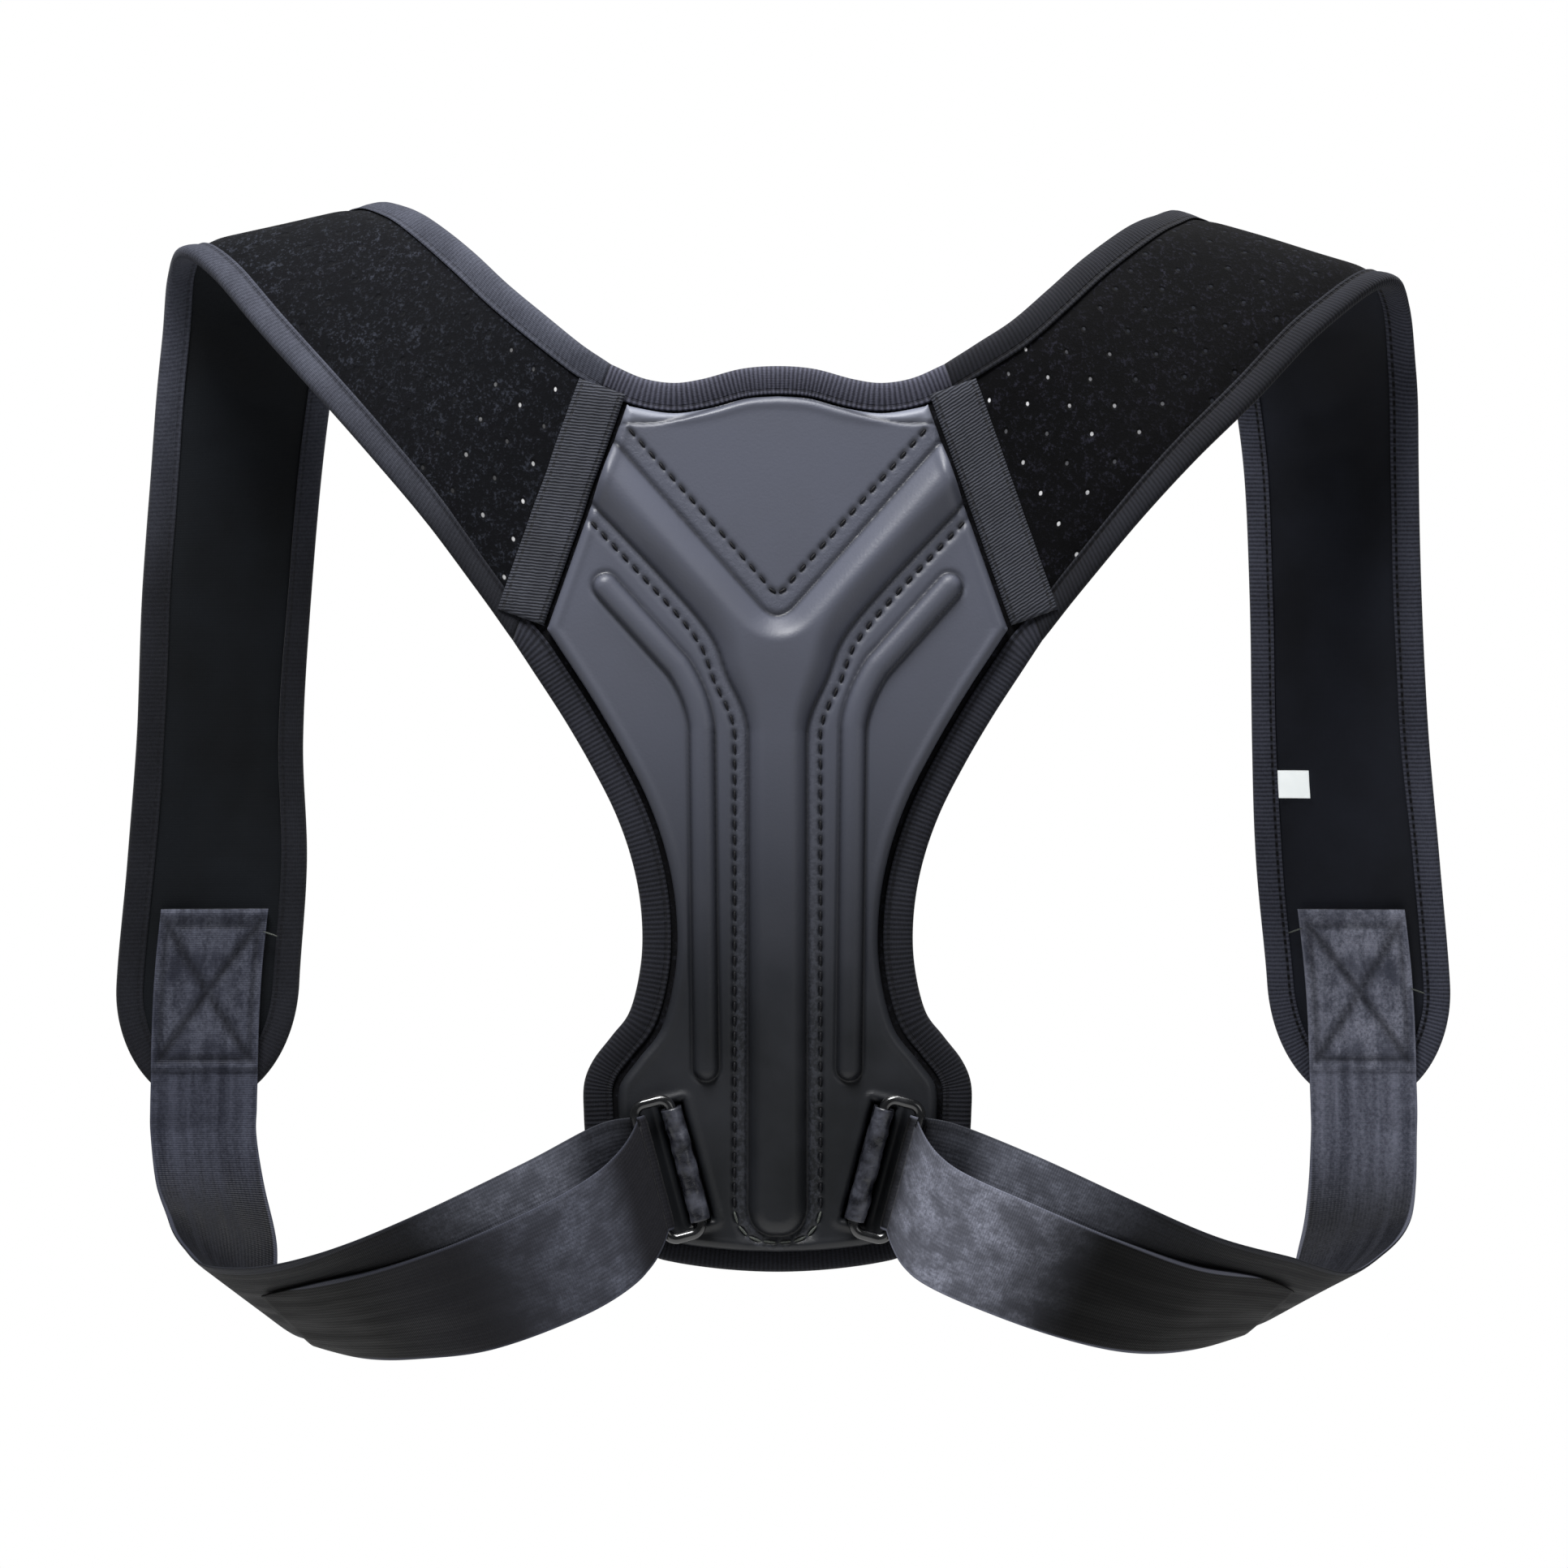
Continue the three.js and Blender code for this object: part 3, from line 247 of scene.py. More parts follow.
def spaced(points, count):
    """A count of points at an even pitch along a line."""
    lengths = run_length(points)
    at = np.linspace(0, lengths[-1], count)
    return np.stack([np.interp(at, lengths, column) for column in points.T], -1)


def resample(points, pitch):
    """Points along a line, about a pitch apart."""
    return spaced(points, max(2, int(round(run_length(points)[-1] / pitch)) + 1))


def bell(x, middle, width):
    """A smooth hump of height 1."""
    return np.exp(-(((x - middle) / width) ** 2))


def line_distance(points, line, closed=False):
    """Distance of flat points to a line of flat points."""
    line = np.asarray(line, float)
    ends = np.roll(line, -1, 0) if closed else line[1:]
    starts = line if closed else line[:-1]
    best = np.full(len(points), 1e9)
    for a, b in zip(starts, ends):
        way = b - a
        size = max(way @ way, 1e-12)
        f = np.clip(((points - a) @ way) / size, 0, 1)
        best = np.minimum(best, np.linalg.norm(points - a - f[:, None] * way, axis=1))
    return best


def inside(points, outline):
    """Whether flat points lie in a closed outline."""
    x, y = points[:, 0], points[:, 1]
    hit = np.zeros(len(points), bool)
    for (x0, y0), (x1, y1) in zip(outline, np.roll(outline, -1, 0)):
        if y0 == y1:
            continue
        crosses = (y0 > y) != (y1 > y)
        hit ^= crosses & (x < (x1 - x0) * (y - y0) / (y1 - y0) + x0)
    return hit


def depth_in(points, outline):
    """Distance inwards from a closed outline, negative outside it."""
    distance = line_distance(points, outline, closed=True)
    return np.where(inside(points, outline), distance, -distance)


def area_of(points):
    x, y = np.asarray(points).T
    return 0.5 * np.sum(x * np.roll(y, -1) - np.roll(x, -1) * y)


def inset(points, distances):
    """A closed outline moved inwards, by its own distance on each edge."""
    points = np.asarray(points, float)
    turn = 1 if area_of(points) > 0 else -1
    edges = unit(np.roll(points, -1, 0) - points)
    normals = np.stack([-edges[:, 1] * turn, edges[:, 0] * turn], -1)
    moved = []
    for i, point in enumerate(points):
        m, n = normals[i - 1], normals[i]
        d, e = distances[i - 1], distances[i]
        cross = m[0] * n[1] - m[1] * n[0]
        if abs(cross) < 0.5:
            bisector = unit(m + n)
            moved.append(point + bisector * (d + e) / 2 / (bisector @ m))
        else:
            moved.append(point + np.array([d * n[1] - e * m[1], e * m[0] - d * n[0]]) / cross)
    return np.array(moved)


# Meshes
def link(name, verts, faces, uvs=None, slots=None, materials=(), attributes=None):
    """A smooth mesh object from millimetres. uvs are for each vertex, slots for each face."""
    mesh = bpy.data.meshes.new(name)
    mesh.from_pydata((np.asarray(verts, float) * MM).tolist(), [], [list(f) for f in faces])
    mesh.update()
    if uvs is not None:
        layer = mesh.uv_layers.new(name="cloth")
        loops = np.zeros(len(mesh.loops), int)
        mesh.loops.foreach_get("vertex_index", loops)
        layer.data.foreach_set("uv", (np.asarray(uvs, float)[loops] * MM).ravel())
    for key, values in (attributes or {}).items():
        attribute = mesh.attributes.new(key, "FLOAT", "POINT")
        attribute.data.foreach_set("value", np.asarray(values, float).ravel())
    if slots is not None:
        mesh.polygons.foreach_set("material_index", np.asarray(slots, int))
    mesh.polygons.foreach_set("use_smooth", [True] * len(mesh.polygons))
    for look in materials:
        mesh.materials.append(look)
    obj = bpy.data.objects.new(name, mesh)
    bpy.context.scene.collection.objects.link(obj)
    if volume(mesh) < 0:
        mesh.flip_normals()
    return obj


def points_of(mesh):
    """Places of a mesh's vertices, in metres."""
    flat = np.zeros(len(mesh.vertices) * 3)
    mesh.vertices.foreach_get("co", flat)
    return flat.reshape(-1, 3)


def volume(mesh):
    """Six times the volume inside a mesh, below zero where its faces point inwards."""
    mesh.calc_loop_triangles()
    corners = np.zeros(len(mesh.loop_triangles) * 3, int)
    mesh.loop_triangles.foreach_get("vertices", corners)
    a, b, c = points_of(mesh)[corners.reshape(-1, 3)].transpose(1, 0, 2)
    return float(np.sum(a * np.cross(b, c)))


def rim_of(grid):
    """The border of a grid in order, once round."""
    return np.concatenate([grid[:, 0], grid[-1, 1:], grid[-2::-1, -1], grid[0, -2:0:-1]])


def grid_faces(shape):
    """How many points a grid has, its faces and the numbers of its rim."""
    at = np.arange(shape[0] * shape[1]).reshape(shape[:2])
    quads = np.stack([at[:-1, :-1], at[1:, :-1], at[1:, 1:], at[:-1, 1:]], -1).reshape(-1, 4)
    return at.size, quads, rim_of(at)


def slab(name, outer, inner, uv, materials, attributes=None):
    """A closed sheet between two grids of points. The first material is on the outer face and
    the edges, the second on the inner face."""
    count, quads, rim = grid_faces(outer.shape)
    back = quads[:, ::-1] + count
    after = np.roll(rim, -1)
    walls = np.stack([rim, rim + count, after + count, after], -1)
    slots = np.r_[np.zeros(len(quads)), np.full(len(back), len(materials) - 1), np.zeros(len(walls))]
    verts = np.vstack([outer.reshape(-1, 3), inner.reshape(-1, 3)])
    uvs = np.vstack([uv.reshape(-1, 2)] * 2)
    return link(name, verts, np.vstack([quads, back, walls]), uvs, slots, materials, attributes)


def flat_backed(name, outer, base_y, uv, materials, attributes):
    """A closed sheet over a flat back: the grid's rim goes down to base_y, where one face closes it."""
    count, quads, rim = grid_faces(outer.shape)
    foot = count + np.arange(len(rim))
    walls = np.stack([rim, foot, np.roll(foot, -1), np.roll(rim, -1)], -1)
    base = outer.reshape(-1, 3)[rim] * [1, 0, 1] + [0, base_y, 0]
    verts = np.vstack([outer.reshape(-1, 3), base])
    uvs = np.vstack([uv.reshape(-1, 2), uv.reshape(-1, 2)[rim]])
    facts = {key: np.r_[values, values[rim]] for key, values in attributes.items()}
    faces = quads.tolist() + walls.tolist() + [foot[::-1].tolist()]
    return link(name, verts, faces, uvs, None, materials, facts)


def sweep(name, rings, uv, materials, loop=False):
    """A closed tube through rings of points; without loop its ends are filled."""
    n, k, _ = rings.shape
    at = np.arange(n * k).reshape(n, k)
    nxt = np.roll(at, -1, 0) if loop else at[1:]
    here = at if loop else at[:-1]
    quads = np.stack([here, np.roll(here, -1, 1), np.roll(nxt, -1, 1), nxt], -1).reshape(-1, 4)
    faces = quads.tolist()
    if not loop:
        faces += [at[0, ::-1].tolist(), at[-1].tolist()]
    return link(name, rings.reshape(-1, 3), faces, uv.reshape(-1, 2), None, materials)


def beads(name, places, ways, normals, length, radius, material):
    """Short stitches: a small capsule at each place, lying along its way."""
    ring = [(-1, 0.35), (-0.75, 0.75), (-0.4, 1.0), (0.4, 1.0), (0.75, 0.75), (1, 0.35)]
    sides = 8
    angles = np.arange(sides) * 2 * np.pi / sides
    verts, faces = [], []
    for place, way, normal in zip(places, ways, normals):
        side = np.cross(way, normal)
        start = len(verts)
        for along, r in ring:
            for a in angles:
                offset = side * math.cos(a) + normal * math.sin(a)
                verts.append(place + way * along * length / 2 + offset * r * radius)
        for i in range(len(ring) - 1):
            for j in range(sides):
                k = (j + 1) % sides
                a, b = start + i * sides, start + (i + 1) * sides
                faces.append((a + j, a + k, b + k, b + j))
        last = start + (len(ring) - 1) * sides
        faces.append([start + j for j in reversed(range(sides))])
        faces.append([last + j for j in range(sides)])
    return link(name, np.array(verts), faces, None, None, [material])


def subdivide(obj):
    modifier = obj.modifiers.new("fine", "SUBSURF")
    modifier.levels = modifier.render_levels = 1
    modifier.boundary_smooth = "PRESERVE_CORNERS"
    return obj


def puff(obj, held, cap):
    """Cloth with pressure inside: fills a padded piece. held are the points that are sewn down,
    cap the most that each point may move, in millimetres."""
    mesh = obj.data
    rest = points_of(mesh)
    group = obj.vertex_groups.new(name="sewn")
    group.add(np.nonzero(held)[0].tolist(), 1.0, "REPLACE")
    cloth = obj.modifiers.new("fill", "CLOTH")
    for key, value in CLOTH.items():
        setattr(cloth.settings, key, value)
    cloth.settings.effector_weights.gravity = 0
    cloth.collision_settings.use_collision = False
    cloth.point_cache.frame_start = 1
    cloth.point_cache.frame_end = CLOTH_FRAMES
    scene = bpy.context.scene
    for number in range(1, CLOTH_FRAMES + 1):
        scene.frame_set(number)
    done = obj.evaluated_get(bpy.context.evaluated_depsgraph_get()).to_mesh()
    move = points_of(done) - rest
    size = np.linalg.norm(move, axis=1, keepdims=True)
    limit = cap[:, None] * MM
    move *= limit * np.tanh(size / np.maximum(limit, 1e-9)) / np.maximum(size, 1e-9)
    print("cloth", obj.name, "mean move mm", round(float(np.mean(np.linalg.norm(move, axis=1))) / MM, 3))
    obj.modifiers.remove(cloth)
    obj.vertex_groups.remove(group)
    mesh.vertices.foreach_set("co", (rest + move).ravel())
    mesh.update()
    scene.frame_set(1)


# Materials
class Value:
    """One output of a look's node. Arithmetic with it adds Math nodes to that look."""

    def __init__(self, look, socket):
        self.look = look
        self.socket = socket

    def __add__(self, other):
        return self.look.math("ADD", self, other)

    def __sub__(self, other):
        return self.look.math("SUBTRACT", self, other)

    def __rsub__(self, other):
        return self.look.math("SUBTRACT", other, self)

    def __mul__(self, other):
        return self.look.math("MULTIPLY", self, other)

    def __truediv__(self, other):
        return self.look.math("DIVIDE", self, other)

    def __abs__(self):
        return self.look.math("ABSOLUTE", self)


class Look:
    """A Principled material built from a few kinds of node."""

    def __init__(self, name, roughness=0.8, **sockets):
        self.material = bpy.data.materials.new(name)
        self.material.use_nodes = True
        self.tree = self.material.node_tree
        self.shader = self.tree.nodes["Principled BSDF"]
        self.shader.inputs["Roughness"].default_value = roughness
        for key, value in sockets.items():
            self.shader.inputs[key.replace("_", " ")].default_value = value

    def put(self, socket, value):
        if isinstance(value, Value):
            self.tree.links.new(value.socket, socket)
        else:
            socket.default_value = value

    def made(self, kind, inputs, output=0, **settings):
        """One output of a new node. Each of its inputs is a number, a colour or another Value."""
        node = self.tree.nodes.new(kind)
        for key, value in settings.items():
            setattr(node, key, value)
        for key, value in inputs.items():
            self.put(node.inputs[key], value)
        return Value(self, node.outputs[output])

    def cloth(self):
        return self.made("ShaderNodeUVMap", {}, uv_map="cloth")

    def place(self):
        return self.made("ShaderNodeTexCoord", {}, "Object")

    def attribute(self, name):
        return self.made("ShaderNodeAttribute", {}, "Fac", attribute_name=name)

    def mapped(self, vector, scale=(1, 1, 1), turn=0.0, offset=(0, 0, 0)):
        inputs = {"Vector": vector, "Scale": scale, "Rotation": (0, 0, math.radians(turn)), "Location": offset}
        return self.made("ShaderNodeMapping", inputs)

    def noise(self, vector, scale, detail=3.0, rough=0.55):
        inputs = {"Vector": vector, "Scale": scale, "Detail": detail, "Roughness": rough}
        return self.made("ShaderNodeTexNoise", inputs, "Fac")

    def cells(self, vector, scale):
        return self.made("ShaderNodeTexVoronoi", {"Vector": vector, "Scale": scale}, "Distance")

    def ribs(self, vector, pitch_mm, axis="X", distortion=0.0):
        """Even ribs of a pitch, 0 to 1, counted along one axis of the cloth's own metres."""
        inputs = {"Vector": vector, "Scale": math.pi / 10 / (pitch_mm * MM), "Distortion": distortion}
        inputs.update({"Detail": 1.0, "Detail Scale": 1.5})
        return self.made("ShaderNodeTexWave", inputs, "Fac", wave_type="BANDS", bands_direction=axis)

    def math(self, operation, a, b=0.0):
        return self.made("ShaderNodeMath", {0: a, 1: b}, operation=operation)

    def part(self, vector, axis):
        return self.made("ShaderNodeSeparateXYZ", {0: vector}, axis)

    def spread(self, value, low, high, out_low=0.0, out_high=1.0):
        """A smooth step of a value from one range to another."""
        inputs = {"Value": value, "From Min": low, "From Max": high, "To Min": out_low, "To Max": out_high}
        return self.made("ShaderNodeMapRange", inputs, "Result", interpolation_type="SMOOTHSTEP")

    def blend(self, share, a, b):
        """Colour a, turning into b as share goes from 0 to 1."""
        a, b = [(*value, 1) if isinstance(value, tuple) else value for value in (a, b)]
        return self.made("ShaderNodeMix", {"Factor": share, 6: a, 7: b}, 2, data_type="RGBA")

    def bump(self, height, distance_mm, strength=1.0, normal=None):
        inputs = {"Height": height, "Distance": distance_mm * MM, "Strength": strength}
        if normal is not None:
            inputs["Normal"] = normal
        return self.made("ShaderNodeBump", inputs)

    def done(self, colour, normal, roughness=None):
        self.put(self.shader.inputs["Base Color"], colour)
        self.put(self.shader.inputs["Normal"], normal)
        if roughness is not None:
            self.put(self.shader.inputs["Roughness"], roughness)
        return self.material


def srgb(*display):
    """Linear colour of 8-bit display values."""
    shares = [value / 255 for value in display]
    return tuple(v / 12.92 if v <= 0.04045 else ((v + 0.055) / 1.055) ** 2.4 for v in shares)


def knit_look(name, deep, light, dots):
    """Brushed knit over foam. dots adds the punched air holes: painted light shows pale through them near the
    seam, painted shade darkens them further off and rings each one.
    """
    look = Look(name, 0.95, Sheen_Weight=0.06, Sheen_Roughness=0.5, Specular_IOR_Level=0.1)
    cloth = look.cloth()
    place = look.place()
    fuzz = look.noise(place, 900, 4, 0.75)
    tufts = look.noise(place, 330, 3, 0.65)
    clouds = look.noise(place, 45, 2, 0.5)
    specks = look.spread(fuzz * (tufts + 0.5), 0.5, 0.74)
    colour = look.blend(specks, deep, light)
    colour = look.blend(look.spread(clouds, 0.35, 0.7, 0, 0.45), colour, deep)
    height = fuzz + tufts * 1.4
    normal = look.bump(height, 0.35, 0.5)
    if dots:
        turned = look.mapped(cloth, (1, 1, 1), dots["turn"], dots["offset"])
        pitch = HOLE_PITCH * MM
        cell = []
        for axis in ("X", "Y"):
            share = look.part(turned, axis) / pitch
            cell.append(look.math("FRACT", share) - 0.5)
        squares = [c * c for c in cell]
        away = look.math("SQRT", squares[0] + squares[1])
        hole = look.spread(away, 0.035, 0.065, 1, 0)
        rim = look.spread(away, 0.05, 0.12, 1, 0)
        along = look.part(cloth, "X")
        near = look.spread(along, 14 * MM, dots["reach"] * MM, 1, 0)
        uneven = look.spread(look.noise(turned, 75, 1), 0.4, 0.6, 0.1, 1)
        pale = near * uneven
        # Painted shade: a dark rim in the dimple round each hole
        colour = look.blend(rim * 0.7, colour, deep)
        # Painted light through the holes near the seam, painted shade in them further off
        lit = look.blend(pale, dots["far"], dots["near"])
        colour = look.blend(hole * dots["strength"], colour, lit)
        normal = look.bump(1.0 - rim, 0.5, 0.6, normal)
    return look.done(colour, normal)


def lining_look(name, deep, light):
    """Smooth stretch lining with a very fine grain."""
    look = Look(name, 0.78, Sheen_Weight=0.06, Sheen_Roughness=0.4, Specular_IOR_Level=0.2)
    cloth = look.cloth()
    place = look.place()
    warp = look.ribs(cloth, 0.9, "Y", 0.4)
    weft = look.ribs(cloth, 0.9, "X", 0.4)
    grain = look.noise(place, 900, 3, 0.6)
    clouds = look.noise(place, 22, 3, 0.5)
    colour = look.blend(look.spread(clouds, 0.3, 0.72), deep, light)
    colour = look.blend(grain * 0.3, colour, deep)
    weave = look.math("MAXIMUM", warp, weft) + grain * 0.6
    return look.done(colour, look.bump(weave, 0.12, 0.4), look.spread(clouds, 0.2, 0.8, 0.62, 0.8))


def binding_look(name, deep, light, rib, stitch, shade, pitch=1.5):
    """Woven edge tape: cross ribs, fine yarn and a sewn line near its inner edge. The cloth's Y is
    the distance from the inner edge on the outer face. shade paints shade on the tape: an axis, the
    range along it in metres and how much of the colour is kept at either end, the rest near black."""
    look = Look(name, 0.8, Sheen_Weight=0.1, Sheen_Roughness=0.45, Specular_IOR_Level=0.2)
    cloth = look.cloth()
    place = look.place()
    ribs = look.ribs(cloth, pitch, "X", 0.35)
    yarn = look.ribs(cloth, 0.55, "Y", 0.5)
    fuzz = look.noise(place, 1100, 4, 0.7)
    clouds = look.noise(place, 35, 3, 0.55)
    tone = ribs * (rib * 0.7) + fuzz * 0.6
    tone = tone + clouds * 0.5
    colour = look.blend(look.spread(tone, 0.3, 1.0 + rib * 0.4), deep, light)
    # Painted shade: the colour darkens towards near black along one axis
    axis, *limits = shade
    kept = look.spread(look.part(place, axis), *limits)
    colour = look.blend(kept, (0.0015, 0.0015, 0.002), colour)
    across = look.part(cloth, "Y")
    line = abs(across - 1.9 * MM)
    groove = look.spread(line, 0.25 * MM, 0.75 * MM, 1, 0)
    dashes = look.spread(look.ribs(cloth, 3.2, "X"), 0.3, 0.5)
    sewn = groove * (dashes * 0.5 + 0.5)
    colour = look.blend(sewn * stitch, colour, srgb(14, 14, 18))
    height = ribs * rib + yarn * 0.25
    height = height + fuzz * 0.4
    height = height - sewn * (1.6 * stitch)
    return look.done(colour, look.bump(height, 0.3, 0.8))


def tape_look(name, deep, light):
    """Grosgrain: strong ribs across the tape, with a sewn line along both edges."""
    look = Look(name, 0.72, Sheen_Weight=0.2, Sheen_Roughness=0.4, Specular_IOR_Level=0.35)
    cloth = look.cloth()
    place = look.place()
    tilted = look.mapped(cloth, (1, 1, 1), 14)
    ribs = look.ribs(tilted, 1.0, "X", 1.6)
    fuzz = look.noise(place, 1000, 3, 0.65)
    clouds = look.noise(place, 60, 2, 0.5)
    shade = ribs * 0.75 + fuzz * 0.4
    shade = shade * look.spread(clouds, 0.2, 0.8, 0.75, 1.15)
    colour = look.blend(look.spread(shade, 0.15, 1.05), deep, light)
    edge = abs(look.part(cloth, "Y"))
    line = abs(edge - (TAPE_WIDTH / 2 - 1.6) * MM)
    groove = look.spread(line, 0.2 * MM, 0.6 * MM, 1, 0)
    dashes = look.spread(look.ribs(cloth, 3.0, "X"), 0.35, 0.5)
    sewn = groove * (dashes * 0.6 + 0.3)
    colour = look.blend(sewn * 0.8, colour, srgb(16, 16, 20))
    height = ribs + fuzz * 0.3 - sewn
    return look.done(colour, look.bump(height, 0.32, 0.8))


def webbing_look(name, deep, light, near, shine, shine_from, gloss=0.5):
    """Woven strap: fine cross weave and lengthwise yarn bands. The cloth's X is the distance from the
    ring: past it the strap lies in painted shade, darker to the tip, and both ways from it a mottled
    painted sheen starts at shine_from. The doubled patch has a mottled painted sheen too, the lowest
    bends painted shade and both edges a painted highlight."""
    look = Look(name, gloss, Sheen_Weight=0.04, Sheen_Roughness=0.35, Specular_IOR_Level=0.14)
    cloth = look.cloth()
    place = look.place()
    weft = look.ribs(cloth, 0.8, "X", 0.5)
    warp = look.ribs(cloth, 1.3, "Y", 0.3)
    bands = look.noise(look.mapped(cloth, (14, 230, 1)), 1.0, 2, 0.5)
    fuzz = look.noise(place, 850, 3, 0.75)
    blotch = look.noise(look.mapped(cloth, (0.8, 1.2, 1)), 80, 4, 0.7)
    tone = bands * 0.6 + fuzz * 0.5
    colour = look.blend(look.spread(tone, 0.35, 0.8), deep, light)
    # Painted sheen: a mottled mask of lighter colour
    sheen_blotches = look.spread(blotch, 0.38, 0.66) * look.spread(fuzz, 0.35, 0.65, 0.3, 1)
    patch = look.attribute("patch")
    colour = look.blend(patch * look.spread(blotch, 0.36, 0.6, 0.55, 0), colour, deep)
    # Painted sheen on the doubled patch
    colour = look.blend(patch * (sheen_blotches * 0.75), colour, shine)
    # Painted shade: near black at the strap's lowest bends
    low = look.spread(look.part(place, "Z"), -0.345, -0.312, 0.85, 0)
    colour = look.blend(low, colour, srgb(9, 9, 9))
    along = look.part(cloth, "X")
    # Painted shade past the ring, going darker towards the tail's tip
    past = look.spread(along, -14 * MM, 3 * MM)
    tip = look.spread(along, 95 * MM, 140 * MM, 0, 0.9)
    reach = abs(along)
    shaded = look.blend(fuzz * 0.5 + tip, near, srgb(5, 5, 5))
    colour = look.blend(past, colour, shaded)
    # Painted sheen both ways from the ring, from shine_from out to 84 mm
    rise = look.spread(reach, shine_from * MM, (shine_from + 14) * MM)
    fall = look.spread(reach, 42 * MM, 84 * MM, 1, 0)
    mottled = sheen_blotches * 0.6 + 0.34
    painted_sheen = rise * fall * mottled
    colour = look.blend(painted_sheen, colour, shine)
    # Painted highlight along both edges of the strap
    edge_highlight = look.spread(abs(look.part(cloth, "Y")), 18.0 * MM, 18.7 * MM, 0, 0.5)
    colour = look.blend(edge_highlight, colour, light)
    colour = look.blend(look.attribute("sewn") * 0.7, colour, srgb(12, 12, 15))
    height = weft * 0.6 + warp * 0.4
    height = height + fuzz * 0.6
    rough = look.spread(bands, 0.3, 0.7, gloss - 0.06, gloss + 0.12)
    return look.done(colour, look.bump(height, 0.2, 0.6), rough)


def plate_look():
    """Moulded foam under a soft coated skin, with painted light and shade: darker towards the foot, paler on the
    flange, dark in the hollows; fine grain in the channels.
    """
    look = Look("moulded_skin", 0.4, Specular_IOR_Level=0.5)
    place = look.place()
    up = look.part(place, "Z")
    grain = look.noise(place, 1400, 3, 0.6)
    skin = look.cells(place, 900)
    clouds = look.noise(place, 30, 3, 0.5)
    # Painted shade: the skin goes from light at the top to dark towards the foot
    colour = look.blend(look.spread(up, -0.285, -0.125), srgb(25, 27, 30), srgb(92, 95, 108))
    colour = look.blend(look.spread(clouds, 0.3, 0.75, 0, 0.25), colour, srgb(60, 62, 72))
    band = look.attribute("channel")
    speck = look.spread(look.noise(place, 700, 2, 0.7), 0.4, 0.62)
    colour = look.blend(band * speck * 0.16, colour, srgb(104, 107, 120))
    # Painted light: the flange is paler where it faces up
    colour = look.blend(look.attribute("flange") * 0.7, colour, srgb(134, 138, 152))
    # Painted shade in the grooves, stitch pits, slots and the groove under the flange
    hollow_shade = look.attribute("hollow_shade")
    colour = look.blend(hollow_shade * 0.75, colour, srgb(14, 15, 19))
    height = grain + skin * 0.5
    height = height + band * speck * 0.8
    rough = look.spread(clouds, 0.25, 0.75, 0.36, 0.5)
    return look.done(colour, look.bump(height, 0.1, 0.45), rough)


def ring_look():
    look = Look("glossy_black", 0.2, Specular_IOR_Level=0.9, Coat_Weight=0.6, Coat_Roughness=0.16)
    place = look.place()
    wear = look.noise(place, 160, 4, 0.6)
    colour = look.blend(look.spread(wear, 0.4, 0.75), srgb(16, 17, 19), srgb(34, 35, 39))
    return look.done(colour, look.bump(wear, 0.08, 0.3), look.spread(wear, 0.3, 0.8, 0.16, 0.3))


def anchor_look():
    look = Look("wrinkled_band", 0.3, Specular_IOR_Level=0.5, Coat_Weight=0.2, Coat_Roughness=0.2)
    cloth = look.cloth()
    place = look.place()
    creases = look.noise(look.mapped(cloth, (1, 0.35, 1)), 260, 5, 0.65)
    # Colour and roughness mottled at random from dark to light grey
    mottle = look.noise(place, 120, 4, 0.6)
    colour = look.blend(look.spread(mottle, 0.35, 0.7), srgb(24, 25, 31), srgb(84, 86, 97))
    return look.done(colour, look.bump(creases, 0.7, 0.8), look.spread(mottle, 0.3, 0.7, 0.24, 0.42))


def thread_look(name, deep, light):
    look = Look(name, 0.6, Specular_IOR_Level=0.35)
    place = look.place()
    twist = look.noise(place, 2500, 3, 0.6)
    return look.done(look.blend(look.spread(twist, 0.35, 0.7), deep, light), look.bump(twist, 0.08, 0.6))


def label_look():
    # Painted light: a faint glow makes the label brighter, though it is no lamp
    painted_glow = {"Emission_Color": (0.9, 0.95, 0.95, 1), "Emission_Strength": 0.55}
    look = Look("blank_label", 0.55, Specular_IOR_Level=0.4, **painted_glow)
    cloth = look.cloth()
    weave = look.math("MAXIMUM", look.ribs(cloth, 0.4, "X", 0.3), look.ribs(cloth, 0.4, "Y", 0.3))
    soft = look.noise(look.place(), 300, 3, 0.6)
    colour = look.blend(look.spread(soft, 0.3, 0.7), srgb(226, 230, 232), srgb(244, 247, 247))
    return look.done(colour, look.bump(weave, 0.06, 0.4))


def floor_look():
    look = Look("pale_floor", 0.85, Emission_Color=(1, 1, 1, 1), Emission_Strength=0.1)
    grain = look.noise(look.place(), 12, 4, 0.5)
    return look.done(look.blend(grain, (0.86, 0.86, 0.86), (0.9, 0.9, 0.9)), look.bump(grain, 0.2, 0.1))


